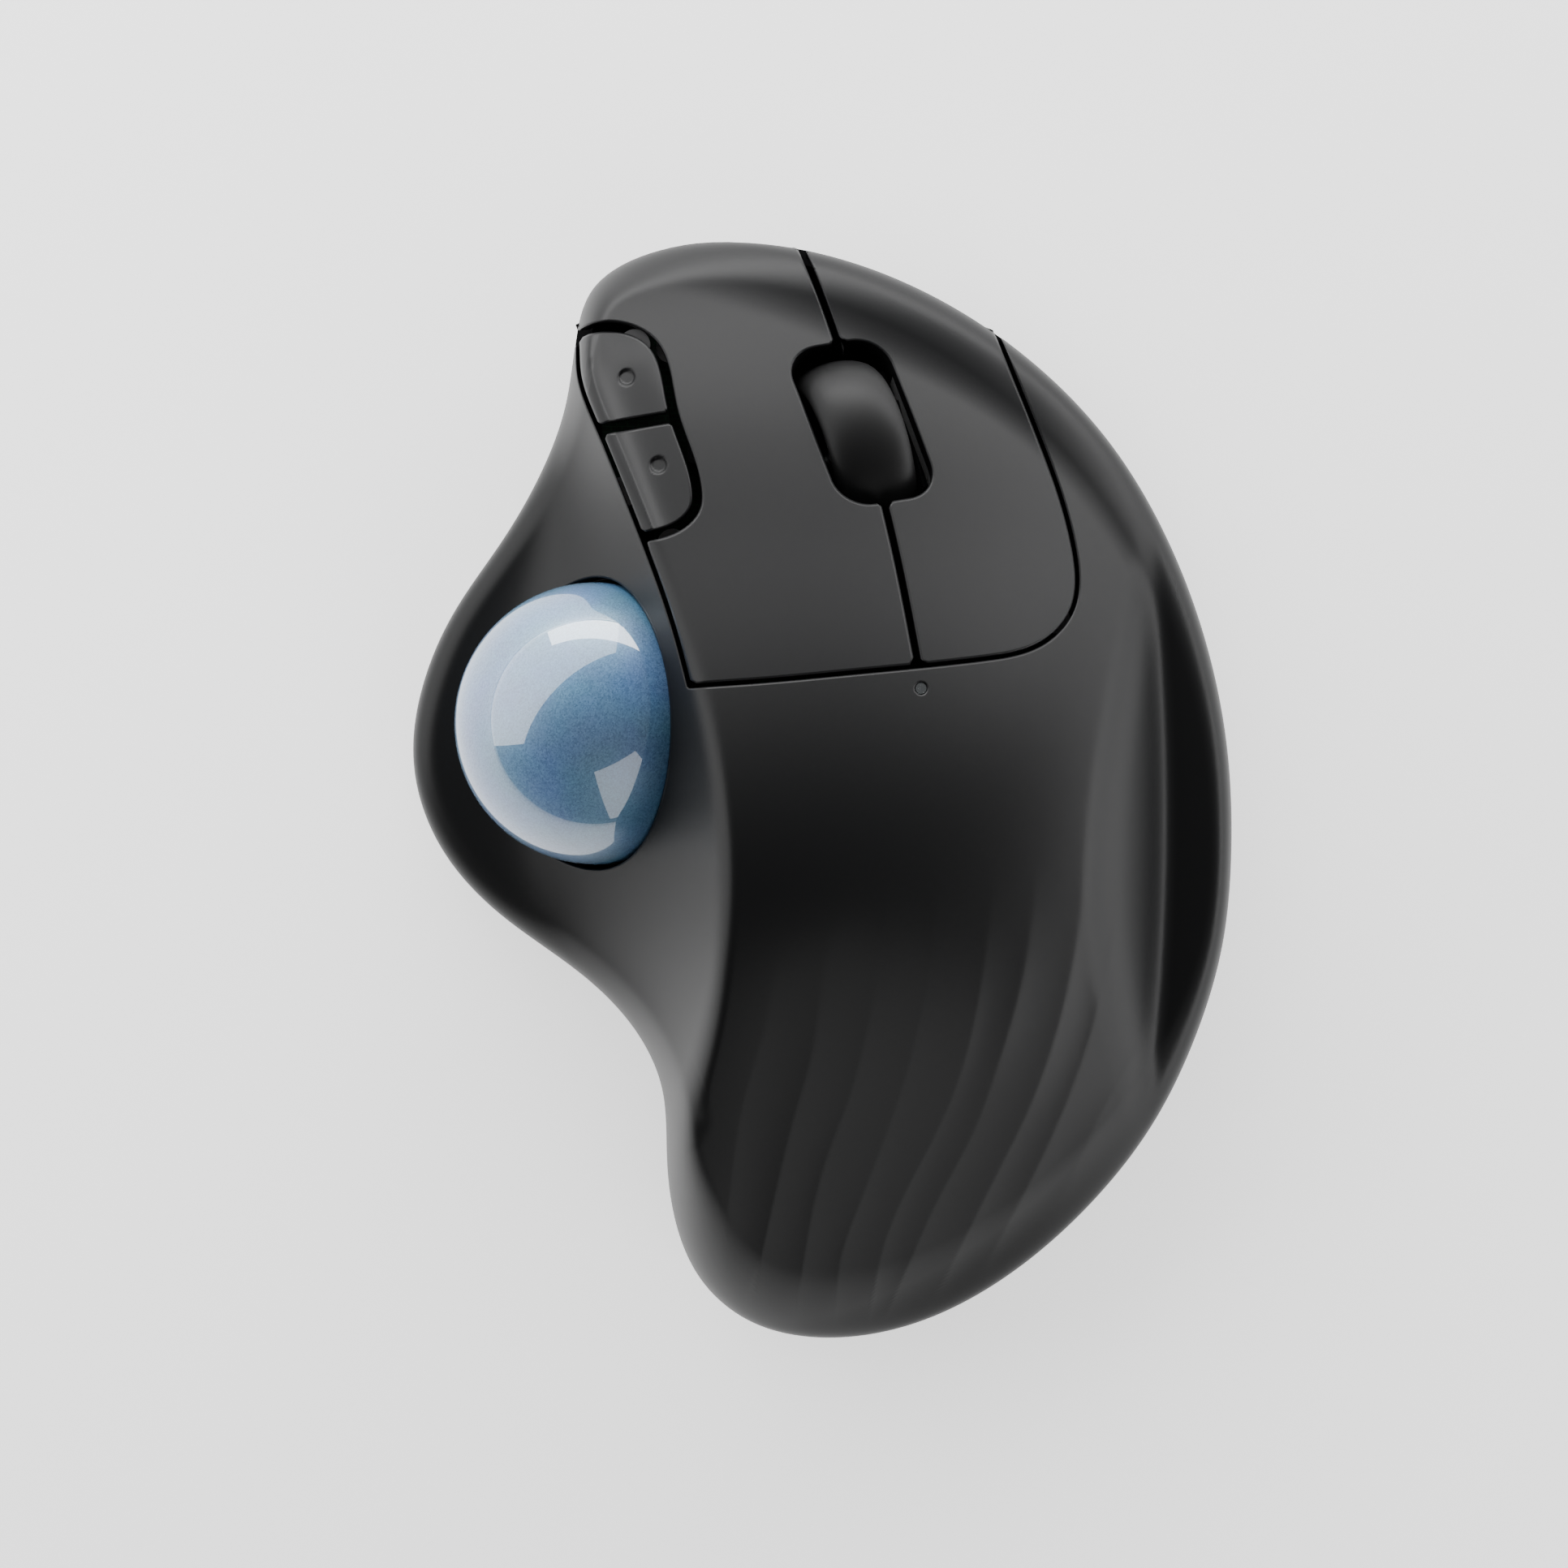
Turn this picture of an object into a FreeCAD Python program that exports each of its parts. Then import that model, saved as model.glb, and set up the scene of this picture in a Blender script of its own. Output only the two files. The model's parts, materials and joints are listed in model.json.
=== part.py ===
"""Thumb-operated trackball mouse, as separate pieces.

Frame: millimetres, +Z up, origin under the middle of the mouse on the desk, +Y towards the fingertips,
-X on the thumb side where the ball sits.
"""
import FreeCAD, Part

import math
import os
import re

import Sketcher

Vector = FreeCAD.Vector
Rotation = FreeCAD.Rotation

# ---------------------------------------------------------------- driving dimensions
DIMENSIONS = {
    # housing
    "seam_height": 9.0, "seam_gap": 0.25, "wall": 2.0, "trim_depth": 1.0, "base_height": 0.8,
    "floor": 1.6, "base_tuck": 3.0, "button_clearance": 1.2, "panel_gap": 0.45, "split_gap": 0.75,
    "side_gap": 1.1,
    # ball and its cup
    "ball_x": -27.4, "ball_y": 8.0, "ball_z": 21.7, "ball_radius": 17.0, "ball_gap": 0.6,
    "cup_wall": 1.6, "cup_tilt": 45.0, "mouth_angle": 80.0, "push_hole_radius": 7.0, "ear_radius": 3.0,
    "ear_height": 7.0, "ear_thickness": 2.0, "bead_radius": 1.5, "bead_angle": 42.0,
    "sensor_angle": 70.0, "sensor_window": 3.0,
    # wheel
    "wheel_yaw": 13.9, "wheel_tilt": 14.0, "wheel_sink": 8.8, "wheel_shift": 0.4, "slot_lean": 25.0,
    "wheel_radius": 12.0, "wheel_width": 10.0, "rim_radius": 9.6, "rim_width": 7.0, "axle_radius": 1.25,
    "axle_length": 22.0, "axle_play": 0.05, "arm_gap": 0.6, "arm_thickness": 1.6, "pivot_back": 14.5,
    "slot_x": 4.7, "slot_y": 44.3, "slot_z": 23.0, "slot_length": 22.6, "slot_width": 12.8,
    "slot_corner": 4.2,
    # boards and switches
    "board_low": 7.0, "board_thickness": 1.6, "upper_board_low": 14.2, "switch_long": 12.8,
    "switch_wide": 5.8, "switch_high": 6.5, "plunger_high": 0.8, "press_room": 1.0, "tact_size": 6.0,
    "tact_high": 3.5, "riser_top": 10.0,
    # battery
    "battery_x": 14.0, "battery_y": -20.0, "battery_z": 10.15, "battery_radius": 7.25,
    "battery_length": 50.5, "tray_play": 0.4, "tray_wall": 1.35, "contact_room": 3.0,
    "door_play": 0.15,
    # small parts under the base
    "receiver_x": -6.0, "receiver_y": -27.0, "receiver_wide": 14.4, "receiver_deep": 6.2,
    "receiver_high": 19.0, "receiver_play": 0.15, "power_x": 20.0, "power_y": 19.5, "power_travel": 3.5,
    "connect_x": 7.0, "connect_y": 16.5, "connect_radius": 2.5,
    # fasteners and feet
    "screw_radius": 1.0, "screw_head_radius": 2.0, "post_radius": 2.6, "post_top": 7.5, "foot_radius": 3.8,
    "foot_thickness": 1.2, "foot_recess": 0.4, "light_x": 11.5, "light_y": 12.0, "light_radius": 0.7,
}

# Where the case screws, the cup ears and the board screws stand in plan.
CASE_SCREWS = [(2, -57), (40, -6), (32.3, 34.5), (-31.5, 29.5), (-12, -40)]
FRONT_FOOT = (-19.5, 54.5)
EAR_ANGLES = [80, -65, -120]
BOARD_SCREWS = [(-18.3, 30), (-18.5, 54), (28.3, 21), (18.4, 46)]
UPPER_BOARD_SCREWS = [(-24.5, 36), (-22.8, 53.9)]

# Where the switches stand in plan.
PLUNGERS = {"left": (-13.5, 46), "right": (19.8, 33)}
SIDE_PLUNGERS = {"forward": (-23.2, 49.4), "back": (-19.8, 38.4)}
MIDDLE_SWITCH = (-7.4, 40.9)

# Plan outline of the housing at its widest, going round from the front tip past the right side.
OUTLINE = [
    (-11.5, 67), (3, 64.7), (15, 59.6), (26, 52), (35, 42.6), (42, 31), (46.9, 18), (49.6, 4), (50, -7),
    (48.9, -19), (45.6, -30.2), (40.3, -41), (32.6, -50.8), (22.8, -59.3), (12, -65), (0.5, -67),
    (-8.8, -65), (-14.9, -59.8), (-17.9, -53), (-19, -45), (-19.6, -36.5), (-22.8, -29.5), (-29.8, -22.3),
    (-39.2, -15.4), (-46.5, -7.3), (-50, 3.5), (-48.8, 13), (-45, 21.8), (-39.4, 30.1), (-34.4, 38.8),
    (-31.4, 47), (-30.2, 54.5), (-28.2, 61), (-22, 65.3),
]

# Seams of the top, as plan curves: where the shells part.
THUMB_SEAM = [(-31.6, 59), (-30, 55.6), (-29.5, 50.8), (-27.1, 43.7), (-21.7, 30.4), (-17.6, 18.9),
              (-15.8, 12.2)]
REAR_SEAM = [(-15.8, 12.2), (-7.3, 12.8), (4.1, 13.9), (19.3, 15.6), (26.1, 17.5), (29.9, 21.6), (30.2, 29.6),
             (26.8, 41.3), (21.3, 55.6), (18.8, 63)]
SPLIT_SEAM = [(-4.3, 70), (-0.5, 60.7), (4.7, 44.3), (8.6, 28.5), (11.2, 14.7)]
SIDE_SEAM = [(-31.5, 54.6), (-25.1, 55.9), (-20.9, 54.1), (-18.1, 45.8), (-15.1, 35.7), (-15.2, 33.7),
             (-16.7, 31.7), (-22.6, 29.9)]
PAIR_SEAM = [(-28.4, 42.7), (-26.6, 43.1), (-18.2, 44.6), (-16.8, 44.8)]

document = FreeCAD.newDocument("TrackballMouse")
sheet = document.addObject("Spreadsheet::Sheet", "dims")
for row, (alias, value) in enumerate(DIMENSIONS.items(), start=1):
    sheet.set("A%d" % row, alias)
    sheet.set("B%d" % row, str(value))
    sheet.setAlias("B%d" % row, alias)
document.recompute()

nodes = []


# ---------------------------------------------------------------- helpers
def dim(alias):
    """A driving dimension, read from the sheet."""
    return float(sheet.get(alias))


def bound(text):
    """An expression on the sheet: every alias in the text gets the sheet's name."""
    return re.sub(r"[a-z_]+", lambda word: "dims." + word[0] if word[0] in DIMENSIONS else word[0], str(text))


def value_of(text):
    return float(sheet.evalExpression(bound(text)))


def bind(obj, **sizes):
    for name, text in sizes.items():
        obj.setExpression(name, bound(text))


def place(obj, at=(0, 0, 0), turn=None):
    obj.Placement = FreeCAD.Placement(Vector(), turn or Rotation())
    for axis, text in zip("xyz", at):
        obj.setExpression("Placement.Base." + axis, bound(text))
    return obj


def primitive(kind, name, at=(0, 0, 0), turn=None, **sizes):
    obj = document.addObject("Part::" + kind, name)
    bind(obj, **sizes)
    return place(obj, at, turn)


def box(name, centre, size, turn=None):
    """A box with its middle at centre in plan and its underside at centre's height."""
    wide, deep, high = size
    x, y, z = centre
    corner = ("(%s) - (%s) / 2" % (x, wide), "(%s) - (%s) / 2" % (y, deep), z)
    return primitive("Box", name, corner, turn, Length=wide, Width=deep, Height=high)


def rod(name, at, radius, high, turn=None):
    return primitive("Cylinder", name, at, turn, Radius=radius, Height=high)


def fuse(name, *parts):
    obj = document.addObject("Part::MultiFuse", name)
    obj.Shapes = list(parts)
    return obj


def cut(name, base, *tools):
    tool = tools[0] if len(tools) == 1 else fuse(name + "_tools", *tools)
    obj = document.addObject("Part::Cut", name)
    obj.Base = base
    obj.Tool = tool
    return obj


def feature(name, shape):
    obj = document.addObject("Part::Feature", name)
    obj.Shape = shape
    return obj


def node(name, obj):
    """Name a finished sub-part; its label is the name of its file."""
    obj.Label = name
    nodes.append(obj)
    return obj


def new_body(name, at=(0, 0, 0), turn=None):
    return place(document.addObject("PartDesign::Body", name), at, turn)


def new_sketch(body, plane, height=0):
    sketch = body.newObject("Sketcher::SketchObject", body.Name + "_sketch")
    origin_plane = next(item for item in body.Origin.OriginFeatures if item.Role == plane)
    sketch.AttachmentSupport = [(origin_plane, "")]
    sketch.MapMode = "FlatFace"
    sketch.setExpression("AttachmentOffset.Base.z", bound(height))
    return sketch


def fix_point(sketch, edge, corner, point):
    """Hold one sketch point at x and y given as expressions on the sheet."""
    for kind, text in zip(("DistanceX", "DistanceY"), point):
        index = sketch.addConstraint(Sketcher.Constraint(kind, -1, 1, edge, corner, value_of(text)))
        sketch.setExpression("Constraints[%d]" % index, bound(text))


def polygon_sketch(body, plane, points, height=0):
    sketch = new_sketch(body, plane, height)
    corners = [Vector(value_of(x), value_of(y), 0) for x, y in points]
    count = len(corners)
    for index in range(count):
        sketch.addGeometry(Part.LineSegment(corners[index], corners[(index + 1) % count]))
    for index in range(count):
        sketch.addConstraint(Sketcher.Constraint("Coincident", index, 2, (index + 1) % count, 1))
        fix_point(sketch, index, 1, points[index])
    return sketch


def rectangle_sketch(body, plane, wide, deep, height=0, centre=(0, 0)):
    x, y = centre
    corners = [(-1, -1), (1, -1), (1, 1), (-1, 1)]
    offset = "(%s) + %d * (%s) / 2"
    points = [(offset % (x, i, wide), offset % (y, j, deep)) for i, j in corners]
    return polygon_sketch(body, plane, points, height)


def circle_sketch(body, plane, radius, height=0, centres=((0, 0),)):
    sketch = new_sketch(body, plane, height)
    for index, (x, y) in enumerate(centres):
        middle = Vector(value_of(x), value_of(y), 0)
        sketch.addGeometry(Part.Circle(middle, Vector(0, 0, 1), value_of(radius)))
        fix_point(sketch, index, 3, (x, y))
        limit = sketch.addConstraint(Sketcher.Constraint("Radius", index, value_of(radius)))
        sketch.setExpression("Constraints[%d]" % limit, bound(radius))
    return sketch


def extrude(body, kind, sketch, length, reverse=False):
    step = body.newObject("PartDesign::" + kind, body.Name + "_" + kind.lower())
    step.Profile = sketch
    step.Reversed = reverse
    bind(step, Length=length)
    return step


def revolve(body, kind, sketch, axis="V_Axis"):
    step = body.newObject("PartDesign::" + kind, body.Name + "_" + kind.lower())
    step.Profile = sketch
    step.ReferenceAxis = (sketch, [axis])
    step.Angle = 360
    return step


def soften(body, kind, edges, size):
    """Round or bevel the edges of the body's last step that the test picks."""
    document.recompute()
    base = body.Tip
    names = ["Edge%d" % (i + 1) for i, edge in enumerate(base.Shape.Edges) if edges(edge)]
    step = body.newObject("PartDesign::" + kind, body.Name + "_" + kind.lower())
    step.Base = (base, names)
    setattr(step, "Radius" if kind == "Fillet" else "Size", size)
    return step


def upright(edge):
    box_of = edge.BoundBox
    return box_of.XLength < 0.01 and box_of.YLength < 0.01


# ---------------------------------------------------------------- the sculpted skin
def natural_spline(points):
    """Smooth curve y(x) through the points, straight beyond its ends."""
    xs = [float(x) for x, _ in points]
    ys = [float(y) for _, y in points]
    count = len(xs)
    gap = [xs[i + 1] - xs[i] for i in range(count - 1)]
    slope = [(ys[i + 1] - ys[i]) / gap[i] for i in range(count - 1)]
    weight = [1.0] * count
    bend = [0.0] * count
    for i in range(1, count - 1):
        share = gap[i - 1] / weight[i - 1] if i > 1 else 0.0
        weight[i] = 2 * (gap[i - 1] + gap[i]) - share * gap[i - 1]
        bend[i] = 6 * (slope[i] - slope[i - 1]) - share * bend[i - 1]
    curve = [0.0] * count
    for i in range(count - 2, 0, -1):
        curve[i] = (bend[i] - gap[i] * curve[i + 1]) / weight[i]
    first = slope[0] - gap[0] * curve[1] / 6
    last = slope[-1] + gap[-1] * curve[-2] / 6

    def evaluate(x):
        if x <= xs[0]:
            return ys[0] + (x - xs[0]) * first
        if x >= xs[-1]:
            return ys[-1] + (x - xs[-1]) * last
        i = max(k for k in range(count - 1) if xs[k] <= x)
        after = x - xs[i]
        before = xs[i + 1] - x
        cubic = (curve[i] * before ** 3 + curve[i + 1] * after ** 3) / (6 * gap[i])
        left = ys[i] / gap[i] - curve[i] * gap[i] / 6
        right = ys[i + 1] / gap[i] - curve[i + 1] * gap[i] / 6
        return cubic + left * before + right * after

    return evaluate


def smooth_step(t):
    t = max(0.0, min(1.0, t))
    return t * t * (3 - 2 * t)


def smooth_min(a, b, blend):
    t = max(0.0, min(1.0, 0.5 + 0.5 * (b - a) / blend))
    return b + (a - b) * t - blend * t * (1 - t)


def smooth_max(a, b, blend):
    return -smooth_min(-a, -b, blend)


class Outline:
    """A closed plan curve that knows its two sides at any y and how deep a point lies inside it."""

    STEPS = 360

    def __init__(self, points):
        self.curve = Part.BSplineCurve()
        self.curve.interpolate([Vector(x, y, 0) for x, y in points], PeriodicFlag=True)
        self.start = self.curve.FirstParameter
        self.span = self.curve.LastParameter - self.start
        self.ring = [self.at(i) for i in range(self.STEPS)]
        heights = [point.y for point in self.ring]
        self.front = heights.index(max(heights))
        self.back = heights.index(min(heights))
        self.top = heights[self.front]
        self.bottom = heights[self.back]

    def at(self, index):
        share = (index % self.STEPS) / self.STEPS
        return self.curve.value(self.start + self.span * share)

    def cross(self, y, ahead, behind):
        """The x where the stretch between two places of the ring crosses y."""
        for _ in range(40):
            middle = (ahead + behind) / 2
            if self.at(middle).y > y:
                ahead = middle
            else:
                behind = middle
        return self.at(ahead).x

    def sides(self, y):
        lap = self.STEPS
        right = self.cross(y, self.front, self.back + (lap if self.back < self.front else 0))
        left = self.cross(y, self.front + (lap if self.front < self.back else 0), self.back)
        return left, right

    def depth(self, x, y):
        nearest = 1e9
        last = self.ring[-1]
        for point in self.ring:
            dx, dy = last.x - point.x, last.y - point.y
            share = ((x - point.x) * dx + (y - point.y) * dy) / (dx * dx + dy * dy)
            share = max(0.0, min(1.0, share))
            away = (x - point.x - share * dx) ** 2 + (y - point.y - share * dy) ** 2
            nearest = min(nearest, away)
            last = point
        return math.sqrt(nearest)

    def inset(self, distance, samples=72):
        points = []
        for i in range(samples):
            parameter = self.start + self.span * i / samples
            point = self.curve.value(parameter)
            along = self.curve.tangent(parameter)[0]
            points.append((point.x + distance * along.y, point.y - distance * along.x))
        return Outline(points)

    def wire(self, z):
        curve = self.curve.copy()
        curve.translate(Vector(0, 0, z))
        return Part.Wire(curve.toShape())


# The crest runs from the front left corner back over the top: its place, and its height over the seam.
crest_x = natural_spline([(-67, -2), (-60, -12), (-50, -16.5), (-41, -16.5), (-29, -13.6), (-14, -11.6),
                          (0, -12.4), (12, -14.8), (29, -20.6), (43, -26.4), (55, -29.6), (67, -31)])
crest_z = natural_spline([(-67, 5), (-62, 10.5), (-55, 17), (-45, 25), (-35, 31.5), (-25, 36), (-15, 38.6),
                          (-8, 39), (0, 38), (12, 34), (30, 25.5), (45, 18), (56, 11.5), (62, 8), (67, 5.5)])
# The thumb side falls from the crest: share of the height left at the edge, and how hollow the fall is.
edge_share = natural_spline([(-67, 1.6), (-50, 1.5), (-42, 1), (-36, 0.6), (-30, 0.35), (-20, 0.14),
                             (8, 0.09), (35, 0.15), (45, 0.4), (50, 0.7), (55, 1.1), (60, 1.5), (67, 1.6)])
hollow = natural_spline([(-67, 1), (-40, 1.1), (-20, 1.7), (8, 2.3), (35, 1.8), (50, 1.2), (67, 1)])
# Radius of the rolled edge on the thumb side and on the right.
roll_left = natural_spline([(-67, 9), (-60, 9), (-45, 7), (-30, 5), (-15, 3.5), (8, 3.2), (30, 3), (45, 3),
                            (55, 5), (67, 6.5)])
roll_right = natural_spline([(-67, 9), (-60, 9), (-45, 7), (-30, 4), (0, 3), (30, 4.5), (50, 6), (67, 6.5)])
DOME_POWER = 0.85
SHELF_FOOT = (43.8, -3.0, 38.0, 2.5)
SHELF_WALL = 2.05
SHELF_HEIGHT = 3.5
SHELF_BLEND = 3.5


def top_surface(x, y, left, right):
    """Height over the seam before the edge is rolled."""
    ridge = crest_x(y)
    high = crest_z(y)
    across = max(0.0, (x - ridge) / (right + 1 - ridge))
    dome = high * max(0.0, 1 - across ** 2) ** DOME_POWER
    foot_x, foot_y, foot_span, foot_sweep = SHELF_FOOT
    foot = foot_x - foot_sweep * ((y - foot_y) / foot_span) ** 2
    palm = smooth_min(dome, SHELF_WALL * (foot - x), SHELF_BLEND)
    low = edge_share(y) * high
    share = max(0.0, (x - left) / (ridge - left))
    power = hollow(y)
    rise = share ** power if share < 1 else 1 + power * (share - 1)
    steep = 2 * max(0.0, x - left) * smooth_step((edge_share(y) - 0.75) / 0.4)
    thumb = low + max(0.0, high - low) * rise + steep
    body = smooth_min(palm, thumb, 3 + 4 * smooth_step((-18 - y) / 20))
    shelf = SHELF_HEIGHT + 1.5 * smooth_step((x + 30) / 40) + 1.5 * smooth_step((y - 35) / 25)
    return smooth_max(body, shelf, 3)


def skin_height(x, y, outline, drop):
    """Height of the skin, or of a surface that lies drop inside it."""
    left, right = full_outline.sides(y)
    body = top_surface(x, y, left, right)
    if drop:
        step = 0.05
        slope_x = (top_surface(x + step, y, left, right) - top_surface(x - step, y, left, right)) / (2 * step)
        ahead = top_surface(x, y + step, *full_outline.sides(y + step))
        behind = top_surface(x, y - step, *full_outline.sides(y - step))
        slope_y = (ahead - behind) / (2 * step)
        body -= drop * min(3.0, math.sqrt(1 + slope_x ** 2 + slope_y ** 2))
    across = smooth_step((x - left) / (right - left))
    roll = max(1.0, roll_left(y) + (roll_right(y) - roll_left(y)) * across - drop)
    short = max(0.0, 1 - outline.depth(x, y) / roll)
    return dim("seam_height") + max(body, 0.3) * math.sqrt(1 - short ** 2)


def dome(drop, rows=40, left_columns=10, right_columns=20):
    """Solid between the seam plane and the skin, or a surface that lies drop inside it."""
    outline = full_outline.inset(drop) if drop else full_outline
    middle = (outline.top + outline.bottom) / 2
    half = (outline.top - outline.bottom) / 2
    seam = dim("seam_height")
    grid = []
    for i in range(rows + 1):
        y = middle + half * math.sin(math.pi * (i / rows - 0.5) * 0.985)
        left, right = outline.sides(y)
        ridge = left + (right - left) * max(0.1, min(0.4, (crest_x(y) - left) / (right - left)))
        shares = [(1 - math.cos(math.pi * j / left_columns)) / 2 for j in range(left_columns)]
        xs = [left + (ridge - left) * share for share in shares]
        xs += [ridge + (right - ridge) * (1 - math.cos(math.pi * j / right_columns)) / 2
               for j in range(right_columns + 1)]
        inner = [Vector(x, y, skin_height(x, y, outline, drop)) for x in xs[1:-1]]
        grid.append([Vector(left, y, seam)] + inner + [Vector(right, y, seam)])
    surface = Part.BSplineSurface()
    surface.interpolate(grid)
    skin = surface.toShape()
    flat = [edge for edge in skin.Edges if edge.BoundBox.ZLength < 1e-6]
    tips = [edge for edge in skin.Edges if edge.BoundBox.ZLength >= 1e-6]
    chords = [Part.makeLine(tip.Vertexes[0].Point, tip.Vertexes[-1].Point) for tip in tips]
    faces = [skin, Part.Face(Part.Wire(Part.__sortEdges__(flat + chords)))]
    faces += [Part.Face(Part.Wire([tip, chord])) for tip, chord in zip(tips, chords)]
    shell = Part.makeShell(faces)
    shell.sewShape()
    solid = Part.makeSolid(shell)
    if solid.Volume < 0:
        solid.reverse()
    return solid


def plan_curve(points):
    curve = Part.BSplineCurve()
    curve.interpolate([Vector(x, y, 0) for x, y in points])
    return curve


def seam_wall(points, gap, samples=24):
    """Upright sheet of the gap's thickness along a plan curve; it cuts the skin into separate shells."""
    curve = plan_curve(points)
    first, last = curve.FirstParameter, curve.LastParameter
    sides = []
    for side in (-gap / 2, gap / 2):
        edge = []
        for i in range(samples + 1):
            parameter = first + (last - first) * i / samples
            point = curve.value(parameter)
            along = curve.tangent(parameter)[0]
            edge.append((point.x - side * along.y, point.y + side * along.x))
        sides.append(plan_curve(edge).toShape())
    ends = [Part.makeLine(sides[0].Vertexes[k].Point, sides[1].Vertexes[k].Point) for k in (0, -1)]
    face = Part.Face(Part.Wire(Part.__sortEdges__(sides + ends)))
    face.translate(Vector(0, 0, dim("seam_height") - 1))
    return face.extrude(Vector(0, 0, 60))


def upright_rod(point, radius, low, high):
    return Part.makeCylinder(radius, high - low, Vector(point[0], point[1], low))


def block(low, high):
    size = [b - a for a, b in zip(low, high)]
    return Part.makeBox(size[0], size[1], size[2], Vector(*low))


def united(shapes):
    whole = shapes[0]
    for shape in shapes[1:]:
        whole = whole.fuse(shape)
    return whole


def solid_at(shape, probe):
    """The solid of a cut-up shape that is nearest to a probe point."""
    spot = Part.Vertex(Vector(*probe))
    return min(shape.Solids, key=lambda solid: solid.distToShape(spot)[0])


# ---------------------------------------------------------------- frames of the tilted pieces
def wheel_turn():
    return Rotation(Vector(0, 0, 1), dim("wheel_yaw")).multiply(Rotation(Vector(0, 1, 0), dim("wheel_tilt")))


def slot_point():
    return Vector(dim("slot_x"), dim("slot_y"), dim("slot_z"))


def wheel_frame():
    """Place of the wheel's middle: sunk under the slot, a little to the thumb side of it."""
    lean = math.radians(dim("slot_lean"))
    sink = dim("wheel_sink")
    offset = Vector(-dim("wheel_shift"), -sink * math.sin(lean), -sink * math.cos(lean))
    return FreeCAD.Placement(slot_point() + wheel_turn().multVec(offset), wheel_turn())


def slot_cutter():
    """Round-ended slot along the slope of the buttons."""
    half_x, half_y = dim("slot_width") / 2, dim("slot_length") / 2
    shape = block((-half_x, -half_y, -16), (half_x, half_y, 10))
    shape = shape.makeFillet(dim("slot_corner"), [edge for edge in shape.Edges if upright(edge)])
    turn = wheel_turn().multiply(Rotation(Vector(1, 0, 0), -dim("slot_lean")))
    shape.Placement = FreeCAD.Placement(slot_point(), turn)
    return shape


def ball_centre():
    return Vector(dim("ball_x"), dim("ball_y"), dim("ball_z"))


def ball_direction(from_below, around):
    """Unit direction from the ball's middle, by its angle from straight down."""
    a, b = math.radians(from_below), math.radians(around)
    return Vector(math.sin(a) * math.cos(b), math.sin(a) * math.sin(b), -math.cos(a))


def clear_ball():
    return Part.makeSphere(dim("ball_radius") + dim("ball_gap"), ball_centre())


# ---------------------------------------------------------------- housing
def cut_skin():
    """All shells of the top, still in one compound, parted by the seams."""
    shell = skin.cut(cavity)
    gap = dim("panel_gap")
    walls = [seam_wall(THUMB_SEAM, gap), seam_wall(REAR_SEAM, gap), seam_wall(SPLIT_SEAM, dim("split_gap")),
             seam_wall(SIDE_SEAM, dim("side_gap")), seam_wall(PAIR_SEAM, 1.2 * dim("side_gap"))]
    return shell.cut(Part.makeCompound(walls + [slot_cutter(), clear_ball()]))


def build_top_cover(shells):
    """Palm rest, thumb scoop and right side in one moulding, with the screw bosses under it."""
    cover = solid_at(shells, (20, -20, 35))
    bosses = [upright_rod(point, dim("post_radius"), dim("post_top"), 60) for point in CASE_SCREWS]
    upper = Part.makeCompound(bosses).common(trim)
    lower = [upright_rod(point, dim("post_radius"), dim("post_top"), dim("seam_height"))
             for point in CASE_SCREWS]
    holes = [upright_rod(point, dim("screw_radius"), 0, 12.3) for point in CASE_SCREWS]
    cover = united([cover] + upper.Solids + lower).cut(Part.makeCompound(holes))
    light = upright_rod((dim("light_x"), dim("light_y")), dim("light_radius"), 20, 50)
    node("top_cover", feature("TopCover", cover.cut(light)))


def build_button(name, shells, probe, plunger, tab_x):
    """A mouse button: its skin, the hinge tab under the cover's edge and the rib that meets its switch."""
    shell = solid_at(shells, probe)
    outside = block((-60, -70, 0), (60, 80, dim("seam_height") + dim("button_clearance")))
    switch_top = dim("board_low") + dim("board_thickness") + dim("switch_high") + dim("plunger_high")
    rib = upright_rod(plunger, 1.6, switch_top + dim("press_room"), 60).common(trim)
    low, high = tab_x
    strip = block((low, 5, 10), (high, 18.5, 60))
    root = block((low + 0.5, 14.6 + 0.06 * low, 10), (high - 0.5, 18.1, 60))
    tab = tab_top.common(strip).cut(tab_floor)
    deeper = tab_floor.copy()
    deeper.translate(Vector(0, 0, -0.3))
    neck = trim.common(root).cut(deeper).cut(seam_wall(REAR_SEAM, 2 * dim("panel_gap")))
    shape = united([shell.cut(outside)] + neck.Solids + tab.Solids + rib.Solids)
    node(name + "_button", feature(name.capitalize() + "Button", shape))


def build_side_button(name, shells, probe, plunger):
    shell = solid_at(shells, probe)
    top = dim("upper_board_low") + dim("board_thickness") + dim("tact_high")
    rib = upright_rod(plunger, 1.3, top + dim("press_room"), 60).common(trim)
    outside = block((-60, -70, 0), (60, 80, dim("seam_height") + dim("button_clearance")))
    node(name + "_button", feature(name.capitalize() + "Button", united([shell.cut(outside)] + rib.Solids)))


def base_loft(levels):
    return Part.makeLoft([full_outline.inset(inset).wire(z) for z, inset in levels], True, False)


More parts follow.
